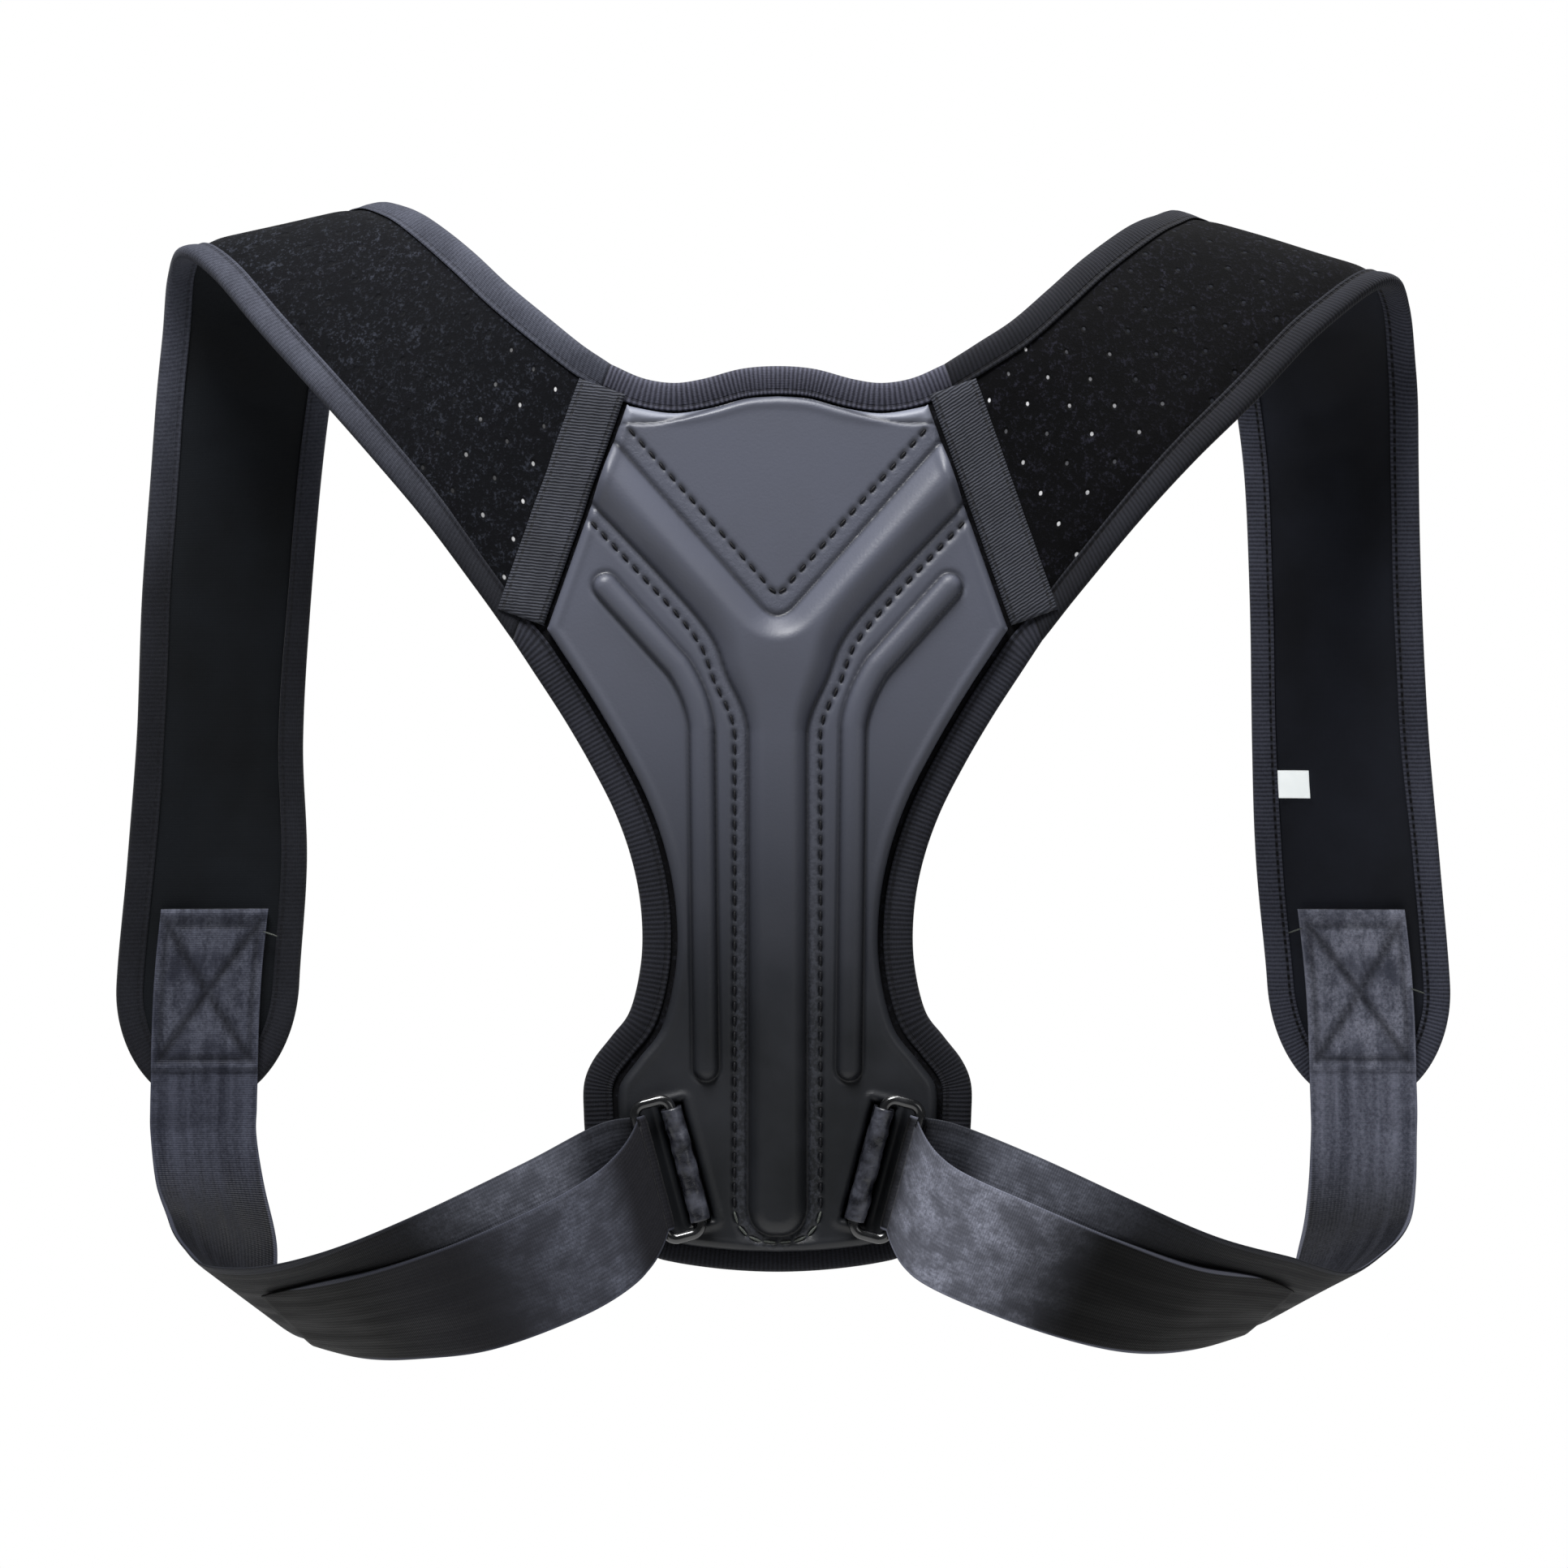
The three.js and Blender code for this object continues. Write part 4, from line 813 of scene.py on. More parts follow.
# Pads
class Pad:
    """Middle surface of a shoulder pad, by the length from its seam."""

    def __init__(self, side):
        self.side = side
        rows = side["pad"]
        reach = side["crest_out"] - SEAM_OUT
        self.centres = np.array([(
            side["sign"] * (SEAM_OUT + row[0] * reach),
            row[1] * (BACK_DEPTH if row[1] < 0 else FRONT_DEPTH),
            CREST_HEIGHT - row[2] * (BACK_DROP if i <= CREST_ROW else FRONT_DROP),
        ) for i, row in enumerate(rows)])
        self.halves = np.array([row[3] * PAD_WIDTH / 2 for row in rows])
        self.leans = np.array([row[4] for row in rows])
        self.swings = np.array([row[5] for row in rows])
        self.last = len(rows) - 1
        self.ts = np.linspace(0, self.last, self.last * 12 + 1)
        self.lengths = run_length(smooth_rows(self.centres, self.ts))
        self.length = self.lengths[-1]
        self.tongue = self.length - TONGUE_LENGTH

    def at(self, s):
        t = np.clip(np.interp(s, self.lengths, self.ts), 0, self.last)
        ahead = smooth_rows(self.centres, np.minimum(t + 0.05, self.last))
        behind = smooth_rows(self.centres, np.maximum(t - 0.05, 0))
        tangent = unit(ahead - behind)
        across = width_direction(self.side["sign"], smooth(self.leans, t), smooth(self.swings, t))
        out = unit(np.cross(across, tangent) * -self.side["sign"])
        return smooth_rows(self.centres, t), tangent, across, out, smooth(self.halves, t)


def edge_distance(pad, s, u, half):
    q = np.maximum(0, (s - pad.tongue) / TONGUE_LENGTH)
    return (1 - np.hypot(q, u / half)) * half


def cushion_rise(room):
    """How far padding has risen from its flat sewn edge, 0 to 1, by the room to the covered edge."""
    return step(room, SEWN_IN - 0.8, SEWN_IN + 6.5)


def pad_piece(pad, outer_look, inner_look):
    """Padded strap: pressed flat under the binding, crowned between the bindings."""
    straight = np.linspace(SEW_GAP / 2, pad.tongue, 150)[:-1]
    angles = np.radians(np.linspace(0, 87, 22))
    s = np.r_[straight, pad.tongue + (TONGUE_LENGTH - EDGE_INSET) * np.sin(angles)]
    share = np.r_[np.ones(len(straight)), np.cos(angles)]
    f = np.sin(np.linspace(-1, 1, 31) * np.pi / 2)
    centre, _, across, out, half = [part[:, None] for part in pad.at(s)]
    u = (half - EDGE_INSET) * share[:, None] * f[None, :]
    room = edge_distance(pad, s[:, None], u, half) - EDGE_INSET
    rise = cushion_rise(room)
    body = 1.15 + 1.25 * rise
    middle = centre + across * u[..., None]
    soft = ripples(middle, 26, 3.1) * 0.28 * rise
    faces = [middle + out * (body + soft)[..., None], middle - out * (body + 0.1 * soft)[..., None]]
    uv = np.stack([np.broadcast_to(s[:, None], u.shape), u], -1)
    obj = slab(f"pad_{pad.side['name']}", *faces, uv, [outer_look, inner_look])
    held = np.tile((room < SEWN_IN - 0.5).ravel(), 2)
    under = (s[:, None] > pad.length - PATCH_SETBACK - PATCH_LENGTH - 8) & (np.abs(u) < WEB_WIDTH / 2 + 3)
    puff(obj, held, np.r_[np.full(u.size, OUTER_PUFF), np.where(under, PATCH_PUFF, INNER_PUFF).ravel()])
    return subdivide(obj)


def binding_profile():
    """Channel section of a folded edge tape: distance in from the edge, height, and distance along
    the tape's own skin from the inner edge of the outer face."""
    w = BINDING_WIDTH
    top = [(w, 1.75), (w, 2.05), (w - 0.5, 2.22), (w - 1.3, 2.12), (w - 1.9, 1.98), (w - 2.6, 2.14),
           (w - 3.8, 2.42), (w - 5.4, 2.6), (w - 6.9, 2.56), (1.4, 2.3), (0.7, 1.85), (0.22, 1.15), (0.0, 0.4)]
    bottom = [(x, -h) for x, h in reversed(top)]
    back = [(w - 0.4, -1.5), (1.6, -1.5), (1.1, 0.0), (1.6, 1.5), (w - 0.4, 1.5)]
    points = np.array(top + bottom + back)
    skin = run_length(points)
    total = skin[len(top) + len(bottom) - 1]
    skin = np.minimum(skin, total)
    mirrored = np.minimum(skin, total - skin)
    return points, np.where(np.arange(len(points)) < len(top) + len(bottom), mirrored, 9.0)


def binding_piece(name, edge, inward, normal, look, seed):
    """Folded edge tape along stations, a little uneven as sewn tape is."""
    profile, skin = binding_profile()
    lengths = run_length(edge)
    wave = ripples(edge, 17, seed)
    slow = ripples(edge, 38, seed + 9)
    inner = profile[None, :, 0] * (1 + 0.035 * slow[:, None] * (profile[None, :, 0] / BINDING_WIDTH))
    height = profile[None, :, 1] * (1 + 0.05 * wave[:, None])
    rings = edge[:, None] + inward[:, None] * inner[..., None] + normal[:, None] * height[..., None]
    uv = np.stack(np.broadcast_arrays(lengths[:, None], skin[None]), -1)
    return sweep(name, rings, uv, [look])


def pad_binding(pad, look):
    def side(s, sign):
        centre, _, across, out, half = pad.at(s)
        return centre + across * (sign * half)[:, None], across * -sign, out

    straight = np.linspace(SEW_GAP / 2, pad.tongue, 260)
    a = np.radians(np.linspace(0, 180, 74))[1:-1]
    centre, tangent, across, out, half = pad.at(pad.tongue + TONGUE_LENGTH * np.sin(a))
    arc_edge = centre - across * (half * np.cos(a))[:, None]
    arc_in = unit(tangent * (-np.sin(a) / TONGUE_LENGTH)[:, None] + across * (np.cos(a) / half)[:, None])
    down, up = side(straight, -1), side(straight[::-1], 1)
    edge, inward, normal = [np.vstack(parts) for parts in zip(down, (arc_edge, arc_in, out), up)]
    name = f"pad_edge_{pad.side['name']}"
    return binding_piece(name, edge, inward, normal, look, 5.0 if pad.side["sign"] > 0 else 1.0)


# Panel and plate
def panel_outline(pads):
    """Outline of the back panel in X and Z from the crown round to the right, and edge kinds."""
    def half(sign, pad):
        centre, _, across, _, wide = pad.at(np.array([0.0]))
        neck = (centre + across * wide[:, None])[0, [0, 2]]
        arm = (centre - across * wide[:, None])[0, [0, 2]]
        rows = [(out * neck[0], neck[1] - dip * NECK_DIP, "neck") for out, dip in NECK_EDGE[::-1]]
        rows += [(*neck, "seam"), (*arm, "side")]
        flank = abs(arm[0]) - WAIST_HALF
        for out, down in UPPER_SIDE:
            rows.append((sign * (WAIST_HALF + out * flank), arm[1] - down * PANEL_BOTTOM_DROP, "side"))
        for out, down in LOWER_SIDE:
            kind = "bottom" if out < 0.7 else "side"
            rows.append((sign * out * FLARE_HALF, arm[1] - down * PANEL_BOTTOM_DROP, kind))
        return rows, neck, arm

    left = half(-1, pads[0])[0]
    right, neck, arm = half(1, pads[1])
    crown = (0, neck[1] - CROWN_DIP * NECK_DIP, "neck")
    foot = (0, arm[1] - PANEL_BOTTOM_DROP, "bottom")
    back = [(x, z, left[i - 1][2] if i > 0 else "neck") for i, (x, z, _) in enumerate(left)][::-1]
    rows = [crown, *right, foot, *back]
    return np.array([row[:2] for row in rows]), [row[2] for row in rows]


def four_sides(outline):
    """Right half of an outline as smooth lines: its top, its seam with its flank, and its foot."""
    corner = len(NECK_EDGE) + 1
    wing = corner + 1
    foot = wing + len(UPPER_SIDE) + len(LOWER_SIDE) + 1
    flank_end = foot - 4
    top = smooth_rows(outline[: corner + 1], np.linspace(0, corner, 60))
    seam = outline[corner] + (outline[wing] - outline[corner]) * np.linspace(0, 1, 30)[:, None]
    flank = smooth_rows(outline[wing: flank_end + 1], np.linspace(0, flank_end - wing, 160))
    base = smooth_rows(outline[flank_end: foot + 1], np.linspace(0, foot - flank_end, 50))
    return top, np.vstack([seam[:-1], flank]), base[::-1]


def outline_grid(outline, rows, columns):
    """A grid of flat points that fills an outline of four sides, even from side to side."""
    flip = np.array([-1, 1])
    top, side, base = four_sides(outline)
    upper, lower = [spaced(np.vstack([line[::-1] * flip, line[1:]]), columns) for line in (top, base)]
    right = spaced(side, rows)
    left = right * flip
    u = np.linspace(0, 1, columns)[None, :, None]
    v = np.linspace(0, 1, rows)[:, None, None]
    edges = (1 - v) * upper[None] + v * lower[None] + (1 - u) * left[:, None] + u * right[:, None]
    corners = (1 - v) * ((1 - u) * upper[0] + u * upper[-1]) + v * ((1 - u) * lower[0] + u * lower[-1])
    return edges - corners


def ring_frame(side, bottom):
    a = math.radians(RING_LEAN)
    sign = side["sign"]
    centre = np.array([sign * RING_OUT, PLATE_FACE_Y - RING_STANDOFF, bottom + RING_RISE])
    down = np.array([-sign * math.sin(a), 0, -math.cos(a)])
    inward = np.array([-sign * math.cos(a), 0, math.sin(a)])
    pitch = RING_DEPTH - RING_WIRE
    return {
        "centre": centre, "down": down, "inward": inward, "pitch": pitch,
        "length": WEB_WIDTH + 2 * RING_SIDE_ROOM + RING_WIRE,
        "outer_bar": centre - inward * pitch / 2, "inner_bar": centre + inward * pitch / 2,
    }


def bezier(a, b, c, count):
    t = np.linspace(0, 1, count)[:, None]
    return (1 - t) ** 2 * a + 2 * t * (1 - t) * b + t**2 * c


class Fork:
    """Lines of the raised Y: its outline, the stitched V above it and the stitched line round it."""

    def __init__(self, top, corner, wing):
        stem = STEM_WIDTH / 2
        fork = top - FORK_DROP
        inner = np.array([ARM_WIDTH * 0.26, fork + ARM_WIDTH * 0.22])
        upper = corner + (wing - corner) * ARM_START
        way, edge = unit(upper - inner), unit(wing - corner)
        lower = upper + edge * ARM_WIDTH / abs(way[0] * edge[1] - way[1] * edge[0])
        crook = np.array([stem + ARM_WIDTH * 0.88, fork + ARM_WIDTH * 0.06])
        waist = np.array([stem + ARM_WIDTH * 0.38, fork - ARM_WIDTH * 0.96])
        join = np.array([stem, top - SHOULDER_DROP])
        apex = inner - way * inner[0] / way[0]
        flip = np.array([-1, 1])
        past = way * 8
        valley = bezier(apex + way * 9, apex, (apex + way * 9) * flip, 15)[::-1][7:]
        bend = smooth_rows([lower + past, lower, crook, waist, join, join - [0, 30]], np.linspace(0, 4, 44))
        foot = top - STEM_END_DROP + stem
        turn = np.radians(np.arange(0, 91, 6))
        base = np.stack([stem * np.cos(turn) ** 0.8, foot - stem * np.sin(turn)], -1)
        half = np.vstack([valley, [upper + past], bend, base])
        self.outline = np.vstack([half, half[::-1][1:-1] * flip])
        across = np.array([-way[1], way[0]]) * V_STITCH_SETBACK
        tip = np.array([0, apex[1] + V_STITCH_SETBACK / way[0]])
        self.vee = np.vstack([upper + past + across, tip, (upper + past + across) * flip])
        ways = unit(np.gradient(bend, axis=0))
        side = bend + np.stack([-ways[:, 1], ways[:, 0]], -1) * LONG_STITCH_SETBACK
        wide = stem + LONG_STITCH_SETBACK
        round_foot = np.stack([wide * np.cos(turn) ** 0.7, foot - (stem + FOOT_STITCH_SETBACK) * np.sin(turn)], -1)
        run = np.vstack([side, round_foot])
        self.long = np.vstack([run, run[::-1][1:] * flip])
        self.foot = foot


def side_rib(sign, top):
    points = np.array([(sign * out * WAIST_HALF, top - down * STEM_END_DROP) for out, down in SIDE_RIB_LINE])
    bend = bezier(points[1] + (points[0] - points[1]) * 0.12, points[2], points[3], 14)
    return np.vstack([points[:1], bend, points[-1:]])


def dome(depth, ramp, height):
    """Height of a round-shouldered rib by the distance in from its edge."""
    share = np.clip(depth / ramp, 0, 1)
    return height * np.sqrt(np.clip(1 - (1 - share) ** 2, 0, 1))


def plate_piece(outline, kinds, frames, look, thread, pale_thread):
    """Moulded plate as one height field: raised Y and side ribs with a rounded profile, sewn
    channels, a lower wavy flange at the top and the two slots."""
    distances = {"neck": PLATE_TOP_MARGIN, "side": PLATE_SIDE_MARGIN, "bottom": PLATE_BOTTOM_MARGIN,
                 "seam": TAPE_WIDTH / 2 + PLATE_TAPE_GAP}
    edge = inset(outline, [distances[kind] for kind in kinds])
    top = edge[0][1]
    fork = Fork(top, edge[len(NECK_EDGE) + 1], edge[len(NECK_EDGE) + 2])
    grid = outline_grid(edge, *PLATE_GRID)
    flat = grid.reshape(-1, 2)
    rim_line = rim_of(grid)
    rim = line_distance(flat, rim_line[::3], closed=True)
    x, z = flat.T
    # Low strips beside the Y, and the Y itself: full domes for arms, a flatter stem
    depth = depth_in(flat, fork.outline)
    arm = step(z, fork.foot + STEM_END_DROP - SHOULDER_DROP - 12, top - FORK_DROP + 2)
    share = np.clip(depth / (8.8 * arm + 5.2 * (1 - arm)), 0, 1)
    full = np.sin(share * np.pi / 2) ** (0.85 + 0.25 * arm)
    height = (RIB_HEIGHT * 0.95 + 2.0 * arm) * full
    height -= 0.9 * bell(depth, -0.5, 0.9)
    # Painted shade is marked here: in the groove round the Y, beside the side ribs, under the flange, in the
    # stitch pits and in the slots
    hollow_shade = 0.9 * bell(depth, -0.35, 0.75)
    height -= 0.55 * (1 - step(-depth, 4.6, 7.6)) * (depth <= 0)
    for sign in (-1, 1):
        rib = SIDE_RIB_WIDTH / 2 - line_distance(flat, side_rib(sign, top))
        height += dome(rib, 3.9, SIDE_RIB_HEIGHT + 0.7)
        height -= 0.6 * bell(rib, -0.5, 0.8)
        hollow_shade = np.maximum(hollow_shade, 0.85 * bell(rib, -0.2, 0.7))
    # Wavy flange under the neck edge
    wave = 0.5 - 0.5 * np.cos(np.pi * np.clip(np.abs(x) / 44, 0, 1))
    above = z - (top - 0.3 - 9 * wave)
    height -= 1.3 * step(above, -0.6, 0.9) + 0.7 * bell(above, 0.4, 0.7)
    hollow_shade = np.maximum(hollow_shade, 0.8 * bell(above, 0.3, 0.6))
    # Sewn lines: a shallow furrow with a pit at each stitch
    stitches = []
    seam = np.full(len(flat), 99.0)
    for line in (fork.vee, fork.long):
        seam = np.minimum(seam, line_distance(flat, line))
        spots = resample(line, STITCH_PITCH)
        ways = unit(np.gradient(spots, axis=0))
        good = inside(spots, rim_line) & (line_distance(spots, rim_line, closed=True) > 2.6)
        stitches += list(zip(spots[good], ways[good]))
    height -= 0.35 * bell(seam, 0, 0.9)
    pits = np.zeros(len(flat))
    for spot, way in stitches:
        near = np.nonzero(np.abs(flat - spot).max(axis=1) < 4)[0]
        local = flat[near] - spot
        a, b = local @ way, local @ [-way[1], way[0]]
        pits[near] = np.maximum(pits[near], np.exp(-((a / 1.75) ** 4) - (b / 0.85) ** 2))
    height -= 0.7 * pits
    hollow_shade = np.maximum(hollow_shade, np.maximum(0.95 * pits, 0.35 * bell(seam, 0, 0.6)))
    channel = (1 - step(-depth, 4.4, 5.4)) * (depth < -0.6)
    # Slots for the anchor loops, with a soft raised rim
    for ring in frames:
        local = flat - ring["inner_bar"][[0, 2]]
        a = np.abs(local @ ring["inward"][[0, 2]]) - (ANCHOR_THICKNESS + RING_WIRE / 2 + SEW_GAP + SLOT_ROOM)
        b = np.abs(local @ ring["down"][[0, 2]]) - (WEB_WIDTH / 2 + SLOT_ROOM)
        slot = np.hypot(np.maximum(a, 0), np.maximum(b, 0)) + np.minimum(np.maximum(a, b), 0)
        height += 0.8 * bell(slot, 1.7, 1.3) - 4.2 * step(-slot, -0.3, 0.9)
        hollow_shade = np.maximum(hollow_shade, step(-slot, -1.0, 0.6))
    # Rounded border with a faint bead
    fallen = np.clip(PLATE_ROUND - rim, 0, PLATE_ROUND)
    height += 0.4 * bell(rim, 2.6, 1.3) + np.sqrt(PLATE_ROUND**2 - fallen**2) - PLATE_ROUND
    height += 0.12 * ripples(np.stack([x, 0 * x, z], -1), 30, 2.0)
    height = np.clip(height, -PLATE_THICKNESS - 0.2, RIB_HEIGHT + 2.4)
    outer = np.stack([x, PLATE_FACE_Y - height, z], -1).reshape(*grid.shape[:2], 3)
    facts = {"channel": channel, "hollow_shade": hollow_shade, "flange": step(above, 0.4, 1.4)}
    plate = flat_backed("plate_skin", outer, PLATE_BASE_Y + 0.1, grid, [look], facts)

    def sew(name, low, length, material):
        chosen = [(spot, way) for spot, way in stitches if (spot[1] <= fork.foot - 2) == low]
        spots = np.array([[spot[0], PLATE_FACE_Y + STITCH_SINK, spot[1]] for spot, _ in chosen])
        ways = np.array([[way[0], 0, way[1]] for _, way in chosen])
        outward = np.tile([0, -1, 0], (len(chosen), 1))
        return beads(name, spots, ways, outward, length, STITCH_RADIUS, material)

    sewing = [sew("plate_stitches", False, STITCH_LENGTH, thread)]
    sewing.append(sew("foot_stitches", True, FOOT_STITCH_LENGTH, pale_thread))
    return plate, sewing


def panel_piece(outline, kinds, outer_look, inner_look):
    edge = inset(outline, [SEW_GAP / 2 if kind == "seam" else EDGE_INSET for kind in kinds])
    grid = outline_grid(edge, *PANEL_GRID)
    flat = grid.reshape(-1, 2)
    free = [i for i, kind in enumerate(kinds) if kind != "seam"]
    after = np.roll(edge, -1, 0)
    room = np.min([line_distance(flat, [edge[i], after[i]]) for i in free], axis=0)
    rise = cushion_rise(room)
    body = 1.2 + 1.2 * rise
    x, z = flat.T
    soft = 0.2 * ripples(np.stack([x, 0 * x, z], -1), 24, 7.0) * rise
    outer = np.stack([x, PANEL_Y - body, z], -1).reshape(*grid.shape[:2], 3)
    inner = np.stack([x, PANEL_Y + body + soft, z], -1).reshape(outer.shape)
    obj = slab("panel_padding", outer, inner, grid, [outer_look, inner_look])
    held = np.r_[np.full(len(flat), True), room < SEWN_IN - 0.5]
    puff(obj, held, np.r_[np.zeros(len(flat)), np.full(len(flat), OUTER_PUFF)])
    return subdivide(obj)


def panel_bindings(outline, looks, pads):
    """Edge tapes of the panel: over the neck edge, and from one arm seam round the foot."""
    corner, count = len(NECK_EDGE) + 1, len(outline)
    neck = np.vstack([outline[count - corner:], outline[: corner + 1]])
    lower = outline[corner + 1: count - corner]
    pieces = []
    for name, line, look, seed in (("neck_edge", neck, looks[0], 2.0), ("waist_edge", lower, looks[1], 8.0)):
        fine = resample(smooth_rows(line, np.linspace(0, len(line) - 1, len(line) * 12)), 1.3)
        way = unit(np.gradient(fine, axis=0))
        turn = 1 if area_of(outline) > 0 else -1
        inward = np.stack([-way[:, 1] * turn, 0 * way[:, 0], way[:, 0] * turn], -1)
        edge = np.stack([fine[:, 0], np.full(len(fine), float(PANEL_Y)), fine[:, 1]], -1)
        for end, reach in ((0, np.arange(8)), (-1, -1 - np.arange(8))):
            pad = pads[0 if edge[end][0] < 0 else 1]
            centre, _, across, _, _ = pad.at(np.array([0.0]))
            towards = -1 if (edge[end] - centre[0]) @ across[0] > 0 else 1
            for k, i in enumerate(reach):
                f = 1 - k / 8
                inward[i] = unit(across[0] * towards * f + inward[i] * (1 - f))
        normal = np.tile([0.0, -1.0, 0.0], (len(edge), 1))
        pieces.append(binding_piece(name, edge, inward, normal, look, seed))
    return pieces


def tape_piece(pad, look):
    """Ribbed tape over a seam, a little domed over the stitching under it."""
    centre, _, across, _, half = pad.at(np.array([0.0]))
    centre, way = centre[0], unit(across[0] * [1, 0, 1])
    side = np.array([way[2], 0, -way[0]])
    ends = half[0] - BINDING_WIDTH + 1.5
    a = np.linspace(-ends, ends, 70)[:, None]
    b = np.linspace(-1, 1, 17)[None, :]
    spots = np.stack([a + 0 * b, 0 * (a + b), 0 * (a + b)], -1)
    wobble = 0.25 * ripples(spots, 14, pad.side["sign"] * 4.0)
    flat = centre * [1, 0, 1] + way * a[..., None] + side * (b * TAPE_WIDTH / 2 + wobble * b)[..., None]
    low = step(np.abs(a), ends - 4, ends)
    dome = 1.05 + 0.45 * np.sqrt(np.clip(1 - b**4, 0, 1)) + 0.12 * np.cos(b * 9) - 0.6 * low
    outer = flat + np.array([0, 1, 0]) * (PANEL_BACK_Y - dome)[..., None]
    inner = flat + np.array([0, 1, 0]) * (PANEL_BACK_Y - 0.2 + 0 * dome)[..., None]
    uv = np.stack([a + 0 * b, b * TAPE_WIDTH / 2 + 0 * a], -1)
    return slab(f"tape_{pad.side['name']}", outer, inner, uv, [look])


# Webbing, rings and anchor loops
def webbing_line(side, pad, ring):
    """Places, width directions, outward directions and half widths of the strap from the patch's
    top to the ring, and the index of the patch's end."""
    lift = BINDING_HALF + PATCH_GAP + WEB_THICKNESS / 2
    half = WEB_WIDTH / 2
    top = pad.length - PATCH_SETBACK - PATCH_LENGTH
    sewn = np.r_[top + PATCH_LENGTH * np.arange(PATCH_SPANS + 1) / PATCH_SPANS, pad.length]
    centre, _, across, out, _ = pad.at(sewn)
    start = centre[-1] - out[-1] * lift
    behind = ring["outer_bar"] + np.array([0, RING_WIRE / 2 + SEW_GAP + WEB_THICKNESS / 2, 0])
    places, ways, halves = list(centre - out * lift), list(across), [half] * len(sewn)
    for part, depth, sag, bulge, width, lean, swing in side["web"]:
        places.append([
            start[0] + (behind[0] - start[0]) * part,
            start[1] + (behind[1] - start[1]) * depth - bulge * WEB_BULGE,
            start[2] + (behind[2] - start[2]) * part - sag * WEB_SAG,
        ])
        ways.append(width_direction(side["sign"], lean, swing))
        halves.append(width * half)
    places.append(behind)
    ways.append(ring["down"])
    halves.append(half)
    places, ways, halves = np.array(places), np.array(ways), np.array(halves)
    steps = 15
    t = np.arange((len(places) - 1) * steps + 1) / steps
    spots = smooth_rows(places, t)
    across = unit(smooth_rows(ways, t))
    ahead = smooth_rows(places, np.minimum(t + 0.01, t[-1])) - smooth_rows(places, np.maximum(t - 0.01, 0))
    out = unit(np.cross(across, unit(ahead)) * -side["sign"])
    return spots, across, out, smooth(halves, t), PATCH_SPANS * steps


